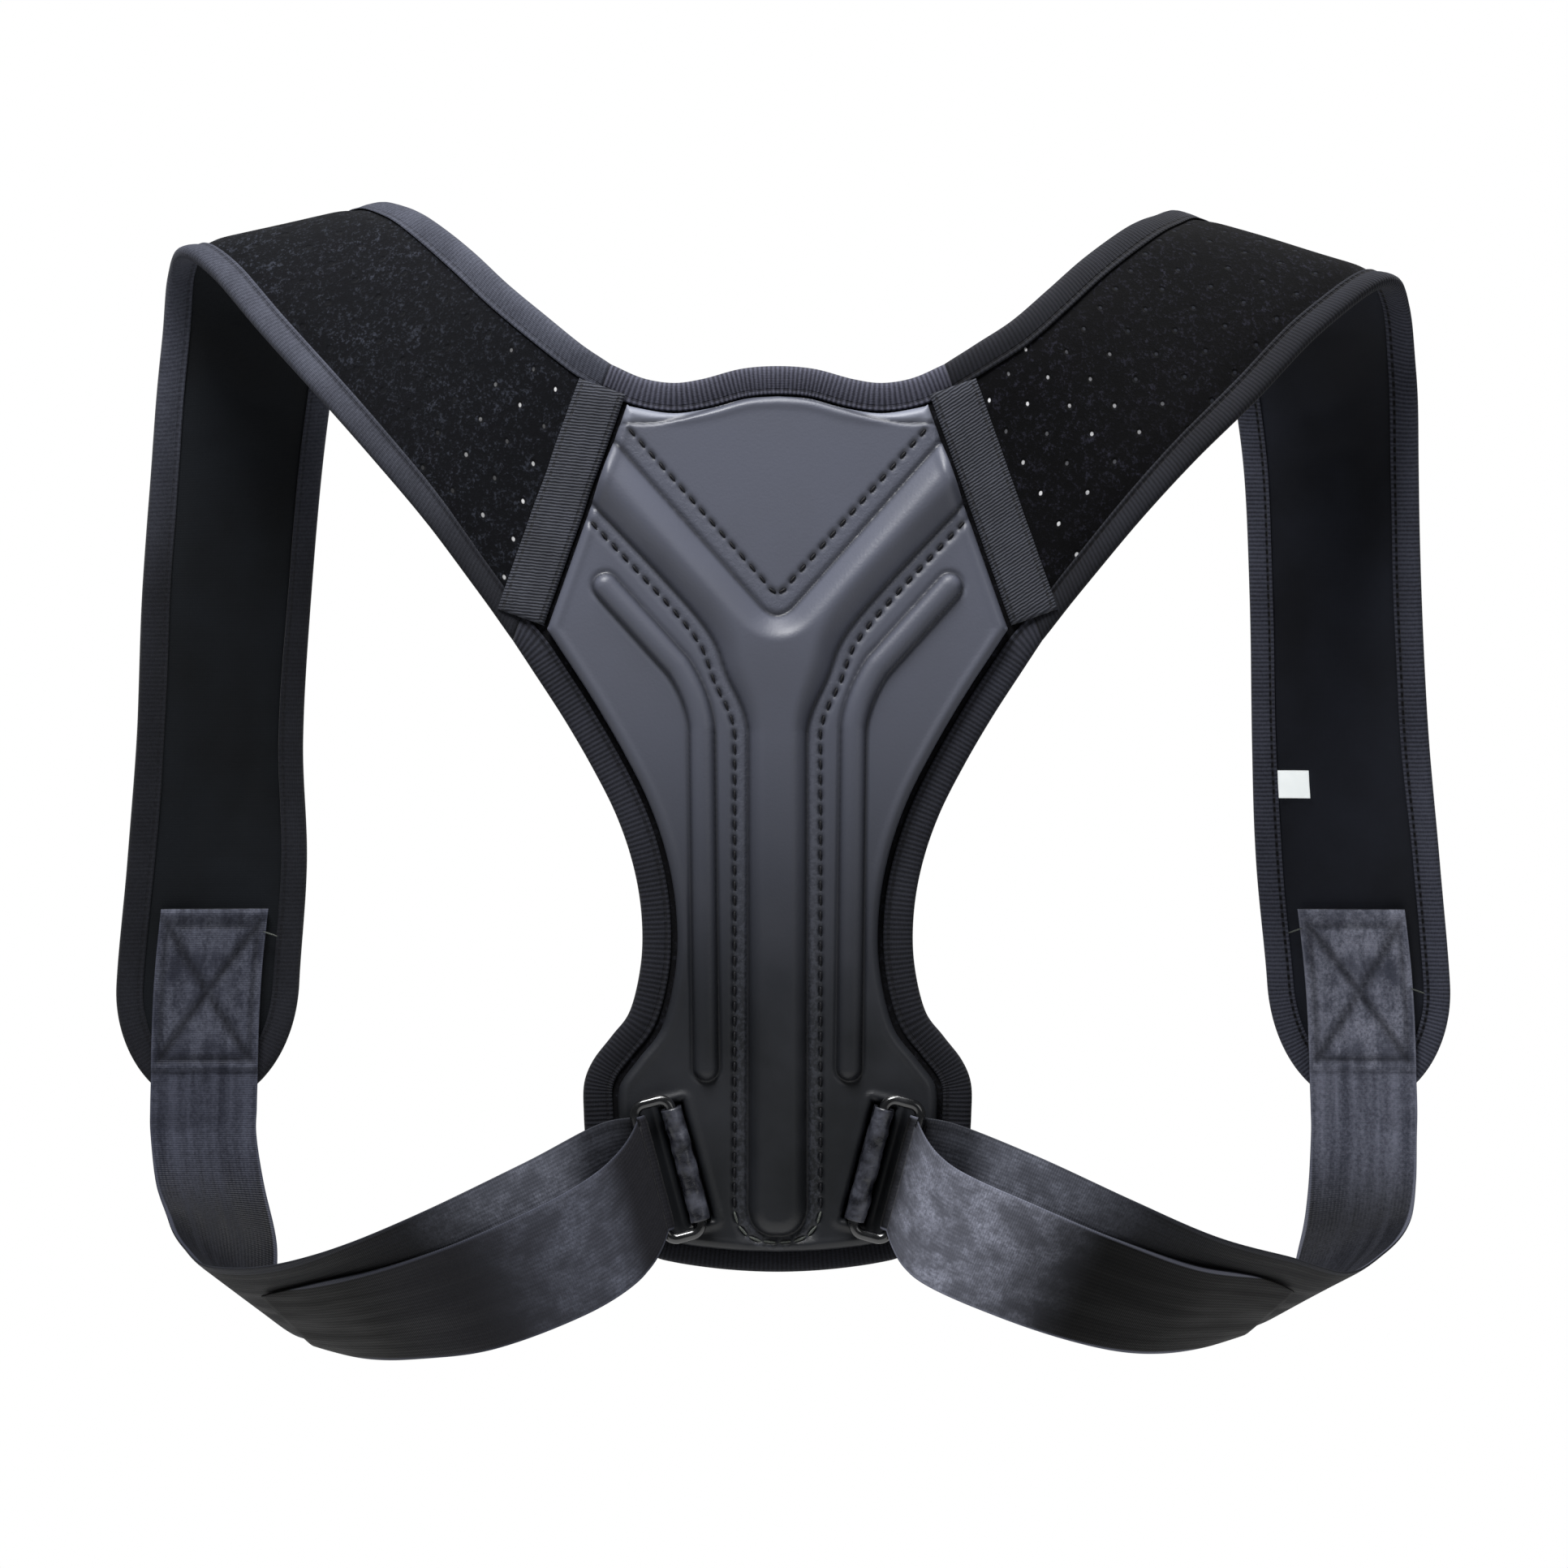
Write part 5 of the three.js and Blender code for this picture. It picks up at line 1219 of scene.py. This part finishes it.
def webbing_piece(side, pad, ring, looks, thread):
    """One strap: doubled and box-stitched on the pad, hanging, turned inward, through the ring and
    back over itself as a long tail."""
    spots, across, out, half, patch_end = webbing_line(side, pad, ring)
    sign = side["sign"]
    wrap = RING_WIRE / 2 + SEW_GAP + WEB_THICKNESS / 2
    rows = [(spots, across, out, half)]
    angles = np.radians(np.arange(9, 172, 9))
    outward = np.outer(np.cos(angles), [0, -1, 0]) - np.outer(np.sin(angles), ring["inward"])
    turned = ring["outer_bar"] - outward * wrap
    down = np.tile(ring["down"], (len(angles), 1))
    rows.append((turned, down, outward, np.full(len(angles), WEB_WIDTH / 2)))
    back = run_length(spots[::-1])
    tail = back <= TAIL_LENGTH
    distance = back[tail]
    pick = np.arange(len(spots))[::-1][tail]
    settle = step(distance, 0, TAIL_SETTLE)
    lift = 2 * wrap + (WEB_THICKNESS + TAIL_GAP - 2 * wrap) * settle
    kept = 1 - TAIL_RETURN * (distance / TAIL_LENGTH) ** 2
    skew = TAIL_SKEW * (1 - np.exp(-distance / TAIL_SKEW_RUN)) * kept
    over = spots[pick] + out[pick] * lift[:, None] + across[pick] * skew[:, None]
    rows.append((over, across[pick], -out[pick], half[pick]))
    place, wide, outs, halves = [np.concatenate(parts) for parts in zip(*rows)]
    along = run_length(place)
    ring_at = along[len(spots)]
    run, narrowing, drop = TAIL_TIPS[side["name"]]
    tip = np.clip((along - along[-1] + run) / run, 0, 1) ** 2
    halves = halves * (1 - narrowing * tip)
    place = place + wide * (drop * tip)[:, None]
    turn = np.linspace(-1, 1, 33) * np.pi / 2 * 0.97
    f = np.r_[-1, np.sin(turn) / math.sin(turn[-1]) * 0.985, 1]
    u = halves[:, None] * f[None, :]
    thick = WEB_THICKNESS / 2 * (1 - 0.55 * np.abs(f) ** 12)[None, :] * np.ones_like(u)
    middle = place[:, None] + wide[:, None] * u[..., None]
    wave = ripples(middle, 30, 6.0 * sign)
    loose = step(along, along[patch_end] + 10, along[patch_end] + 50)
    loose = loose * (1 - step(along, ring_at - 40, ring_at - 5)) + step(along, ring_at + 30, ring_at + 90)
    sway = 0.45 * wave * np.minimum(loose, 1)[:, None]
    # The doubled end: folded hem, sewn box and cross
    local = along[:, None] - along[0]
    end = along[patch_end] - along[0]
    patch = 1 - step(local, end - 0.2, end + 1.2)
    flat = np.stack([np.broadcast_to(local, u.shape), u * (WEB_WIDTH / 2 / halves[:, None])], -1).reshape(-1, 2)
    box_half, box_end = WEB_WIDTH / 2 - BOX_MARGIN, end - BOX_END
    corners = np.array([(HEM, -box_half), (HEM, box_half), (box_end, box_half), (box_end, -box_half)])
    lines = [line_distance(flat, np.array([corners[i], corners[j]])) for i, j in ((0, 2), (1, 3))]
    cross = np.minimum(*lines).reshape(u.shape)
    box = line_distance(flat, corners, closed=True).reshape(u.shape)
    pulled = np.maximum(bell(cross, 0, 1.7), 0.8 * bell(box, 0, 1.1))
    crumple = ripples(middle, 6.5, 11.0 + sign)
    fold = bell(local, 1.6, 1.5) - 1.1 * bell(local, 4.4, 0.9)
    puffed = patch * (WEB_THICKNESS * 0.95 - 1.15 * pulled + 0.4 * crumple + 0.6 * fold)
    outer = middle + outs[:, None] * (thick + sway)[..., None]
    inner = middle - outs[:, None] * (thick - sway + puffed)[..., None]
    uv = np.stack([np.broadcast_to(along[:, None] - ring_at, u.shape), u], -1)
    shade = np.r_[np.zeros(u.size), (patch * np.clip(pulled, 0, 1)).ravel()]
    doubled = np.r_[np.zeros(u.size), np.broadcast_to(patch, u.shape).ravel()]
    obj = slab(f"strap_{side['name']}", outer, inner, uv, looks, {"sewn": shade, "patch": doubled})
    ends = []
    for down, column in THREAD_ENDS[side["name"]]:
        row = int(np.argmin(np.abs(along - along[0] - down)))
        aside = wide[row] * (1 if column else -1)
        spot = middle[row, column] - outs[row] * 2.4 + aside * 1.6
        ends.append((spot, unit(aside + [0, 0, -0.35]), -outs[row]))
    threads = beads(f"thread_ends_{side['name']}", *zip(*ends), THREAD_END_LENGTH, THREAD_END_RADIUS, thread)
    return obj, threads


def ring_piece(side, ring, look):
    sides, steps = 20, 12
    r = RING_WIRE
    a, b = ring["length"] / 2 - r, ring["pitch"] / 2 - r
    wire = RING_WIRE / 2 - 0.02
    angles = np.arange(sides) * 2 * np.pi / sides
    rings = []
    for sx, sy, start in ((1, 1, 0), (-1, 1, 90), (-1, -1, 180), (1, -1, 270)):
        for i in range(steps + 1):
            turn = math.radians(start + 90 * i / steps)
            radial = ring["down"] * math.cos(turn) + ring["inward"] * math.sin(turn)
            centre = ring["centre"] + ring["down"] * sx * a + ring["inward"] * sy * b + radial * r
            around = np.outer(np.cos(angles), radial) + np.outer(np.sin(angles), [0, 1, 0])
            rings.append(centre + wire * around)
    rings = np.array(rings)
    uv = np.zeros((*rings.shape[:2], 2))
    return sweep(f"rect_ring_{side['name']}", rings, uv, [look], loop=True)


def anchor_piece(side, ring, look):
    """Short band out of the slot, round the ring's inner bar and back, wrinkled by the pull."""
    inner = RING_WIRE / 2 + 0.12
    foot = PANEL_BACK_Y - SEW_GAP
    y = ring["centre"][1]
    angles = np.radians(np.linspace(0, 180, 25))
    arc = [(math.cos(a), math.sin(a)) for a in angles]
    line = [(1, -0.9), (1, -0.45)] + arc + [(-1, -0.45), (-1, -0.9)]
    d = np.linspace(-1, 1, 60) * (WEB_WIDTH / 2 - 0.3)
    across = np.array([p[0] for p in line])
    rise = np.array([p[1] for p in line])
    grids = []
    for layer in (ANCHOR_THICKNESS + 0.15, 0.0):
        radius = inner + layer
        px = across[None, :] * radius + 0 * d[:, None]
        rising = np.where(rise >= 0, rise * radius, rise / 0.9 * (foot - y))[None, :] + 0 * d[:, None]
        spot = ring["inner_bar"] + ring["down"] * d[:, None, None] + ring["inward"] * px[..., None]
        spot[..., 1] = y - rising
        if layer:
            crease = ripples(spot * [1, 0.4, 1], 5.0, 13.0 + side["sign"])
            fine = ripples(spot * [1, 0.3, 1], 2.2, 17.0 + side["sign"])
            away = spot - (ring["inner_bar"] + ring["down"] * d[:, None, None])
            edge = 1 - 0.5 * (np.abs(d) / (WEB_WIDTH / 2))[:, None] ** 8
            spot = spot + unit(away) * ((0.55 * crease + 0.25 * fine) * edge)[..., None]
        grids.append(spot)
    lengths = np.r_[0, np.cumsum(np.hypot(np.diff(across * 3), np.diff(rise * 3)))]
    uv = np.stack([d[:, None] + 0 * lengths[None], lengths[None] + 0 * d[:, None]], -1)
    return slab(f"anchor_band_{side['name']}", grids[0], grids[1], uv, [look])


def label_piece(pad, look):
    s = pad.length * LABEL_ALONG + np.linspace(-1, 1, 15) * LABEL_HEIGHT / 2
    centre, _, across, out, half = pad.at(s)
    b = np.linspace(-1, 1, 17)
    u = half[:, None] * LABEL_ASIDE + b[None, :] * LABEL_WIDTH / 2
    curl = 0.35 * (b[None, :] * -1 + 1) ** 2 * 0.5
    lift = 3.05 + curl + 0.08 * np.cos(np.linspace(-4, 4, 15))[:, None]
    under = centre[:, None] + across[:, None] * u[..., None]
    grids = [under - out[:, None] * (lift + thick)[..., None] for thick in (0.28, 0.0)]
    uv = np.stack([s[:, None] + 0 * u, u], -1)
    return slab("blank_label", *grids, uv, [look])


# Build
# Holes: far is the painted shade in them, near the painted light through them, set per side
dots_left = {"turn": 8, "offset": (0.004, 0.002, 0), "reach": 52, "strength": 0.85,
             "far": srgb(15, 16, 20), "near": (0.75, 0.75, 0.76)}
dots_right = {"turn": -6, "offset": (0.003, 0.005, 0), "reach": 80, "strength": 0.9,
              "far": srgb(36, 38, 45), "near": (0.8, 0.8, 0.82)}
# Left, right, panel, neck and waist copies of the knit, lining, edge tape and strap inner face have their own
# colours for the light each place gets: lit and shaded copies, painted light and shade
looks = {
    "knit_left": knit_look("brushed_knit_left", srgb(10, 11, 15), srgb(48, 51, 60), dots_left),
    "knit_right": knit_look("brushed_knit_right", srgb(4, 4, 6), srgb(36, 36, 46), dots_right),
    "knit_panel": knit_look("brushed_knit_panel", srgb(9, 9, 12), srgb(34, 35, 42), None),
    "lining_left": lining_look("lining_left", srgb(9, 12, 16), srgb(20, 24, 30)),
    "lining_right": lining_look("lining_right", srgb(22, 24, 31), srgb(38, 41, 51)),
    "binding_left": binding_look(
        "edge_tape_left", srgb(44, 46, 56), srgb(90, 93, 106), 0.2, 0.4, ("Z", -0.13, -0.03, 0.24, 1.0)),
    "binding_right": binding_look(
        "edge_tape_right", srgb(36, 37, 46), srgb(88, 91, 106), 0.55, 1.0, ("Y", -0.02, 0.05, 0.2, 1.0)),
    "binding_neck": binding_look(
        "edge_tape_neck", srgb(34, 34, 44), srgb(90, 91, 106), 0.8, 0.6, ("Z", -0.12, -0.08, 0.6, 0.9)),
    "binding_waist": binding_look(
        "edge_tape_waist", srgb(24, 25, 32), srgb(66, 68, 80), 0.6, 0.6, ("Z", -0.3, -0.12, 0.32, 0.75)),
    "tape": tape_look("grosgrain", srgb(26, 28, 36), srgb(68, 71, 82)),
    "strap_outer": webbing_look(
        "strap_outer", srgb(28, 29, 34), srgb(60, 62, 70), srgb(14, 14, 16), srgb(120, 123, 136), 16),
    "strap_inner_left": webbing_look(
        "strap_inner_left", srgb(44, 46, 57), srgb(86, 89, 104), srgb(42, 42, 47), srgb(98, 101, 114), 20),
    "strap_inner_right": webbing_look(
        "strap_inner_right", srgb(66, 69, 82), srgb(134, 137, 154), srgb(10, 10, 11), srgb(156, 159, 175), 4),
    "plate": plate_look(),
    "ring": ring_look(),
    "anchor": anchor_look(),
    "thread": thread_look("dark_thread", srgb(12, 12, 15), srgb(34, 34, 40)),
    "pale_thread": thread_look("pale_thread", srgb(60, 64, 62), srgb(112, 116, 110)),
    "label": label_look(),
}

pads = [Pad(side) for side in SIDES]
outline, kinds = panel_outline(pads)
bottom = outline[:, 1].min()
frames = [ring_frame(side, bottom) for side in SIDES]


def settle(obj, slot, *nodes):
    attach(obj, "root")
    if nodes:
        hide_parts(*nodes)
    return obj


plate, sewing = plate_piece(outline, kinds, frames, looks["plate"], looks["thread"], looks["pale_thread"])
settle(plate, "plate", "moulded_plate")
for stitches in sewing:
    settle(stitches, "plate")
panel = settle(panel_piece(outline, kinds, looks["knit_panel"], looks["lining_right"]), "padding", "back_panel")
neck_edge, waist_edge = panel_bindings(outline, (looks["binding_neck"], looks["binding_waist"]), pads)
settle(neck_edge, "binding", "neck_binding")
settle(waist_edge, "binding", "waist_binding")
for side, pad, ring in zip(SIDES, pads, frames):
    name = side["name"]
    cushion = pad_piece(pad, looks[f"knit_{name}"], looks[f"lining_{name}"])
    settle(cushion, "padding", f"shoulder_pad_{name}")
    settle(pad_binding(pad, looks[f"binding_{name}"]), "binding", f"pad_binding_{name}")
    settle(tape_piece(pad, looks["tape"]), "tape", f"junction_tape_{name}")
    faces = [looks["strap_outer"], looks[f"strap_inner_{name}"]]
    strap, threads = webbing_piece(side, pad, ring, faces, looks["pale_thread"])
    settle(strap, "webbing", f"webbing_{name}")
    settle(threads, "webbing")
    settle(ring_piece(side, ring, looks["ring"]), "ring", f"ring_{name}")
    settle(anchor_piece(side, ring, looks["anchor"]), "anchor", f"anchor_loop_{name}")
settle(label_piece(pads[1], looks["label"]), "label", "care_label")

# Floor, light and camera
square = [(x * FLOOR_HALF, y * FLOOR_HALF, FLOOR_Z) for x, y in ((-1, -1), (1, -1), (1, 1), (-1, 1))]
floor = link("floor", square, [(0, 1, 2, 3)], None, None, [floor_look()])


def lamp(name, place, target, size, power):
    light = bpy.data.lights.new(name, "AREA")
    light.shape = "RECTANGLE"
    light.size, light.size_y = size
    light.energy = power
    obj = bpy.data.objects.new(name, light)
    obj.location = place
    obj.rotation_euler = (Vector(target) - Vector(place)).to_track_quat("-Z", "Y").to_euler()
    bpy.context.scene.collection.objects.link(obj)


lamp("key", (-0.25, -0.56, 0.68), (0, -0.05, -0.12), (0.42, 0.36), 11.5)
lamp("fill", (0.9, -1.1, 0.25), (0, 0, -0.15), (0.7, 0.7), 1.6)
lamp("top", (0.1, -0.12, 0.85), (0, -0.06, -0.1), (0.8, 0.4), 8)

# Plain white to the camera, dim light to everything else
world = bpy.data.worlds.new("studio")
world.use_nodes = True
tree = world.node_tree
tree.nodes.clear()
output = tree.nodes.new("ShaderNodeOutputWorld")
mix = tree.nodes.new("ShaderNodeMixShader")
path = tree.nodes.new("ShaderNodeLightPath")
tree.links.new(path.outputs["Is Camera Ray"], mix.inputs[0])
tree.links.new(mix.outputs[0], output.inputs[0])
for socket, colour, strength in ((1, (0.96, 0.98, 1.0, 1), 0.085), (2, (1, 1, 1, 1), 1.0)):
    background = tree.nodes.new("ShaderNodeBackground")
    background.inputs["Color"].default_value = colour
    background.inputs["Strength"].default_value = strength
    tree.links.new(background.outputs[0], mix.inputs[socket])
bpy.context.scene.world = world
bpy.context.scene.view_settings.view_transform = "Standard"

camera_data = bpy.data.cameras.new("camera")
camera_data.lens = CAMERA_LENS
camera_data.sensor_width = 36
camera_data.clip_start = 0.01
camera = bpy.data.objects.new("camera", camera_data)
camera.location = CAMERA_PLACE
camera.rotation_euler = (math.radians(90), 0, 0)
bpy.context.scene.collection.objects.link(camera)
bpy.context.scene.camera = camera

bpy.context.view_layer.update()
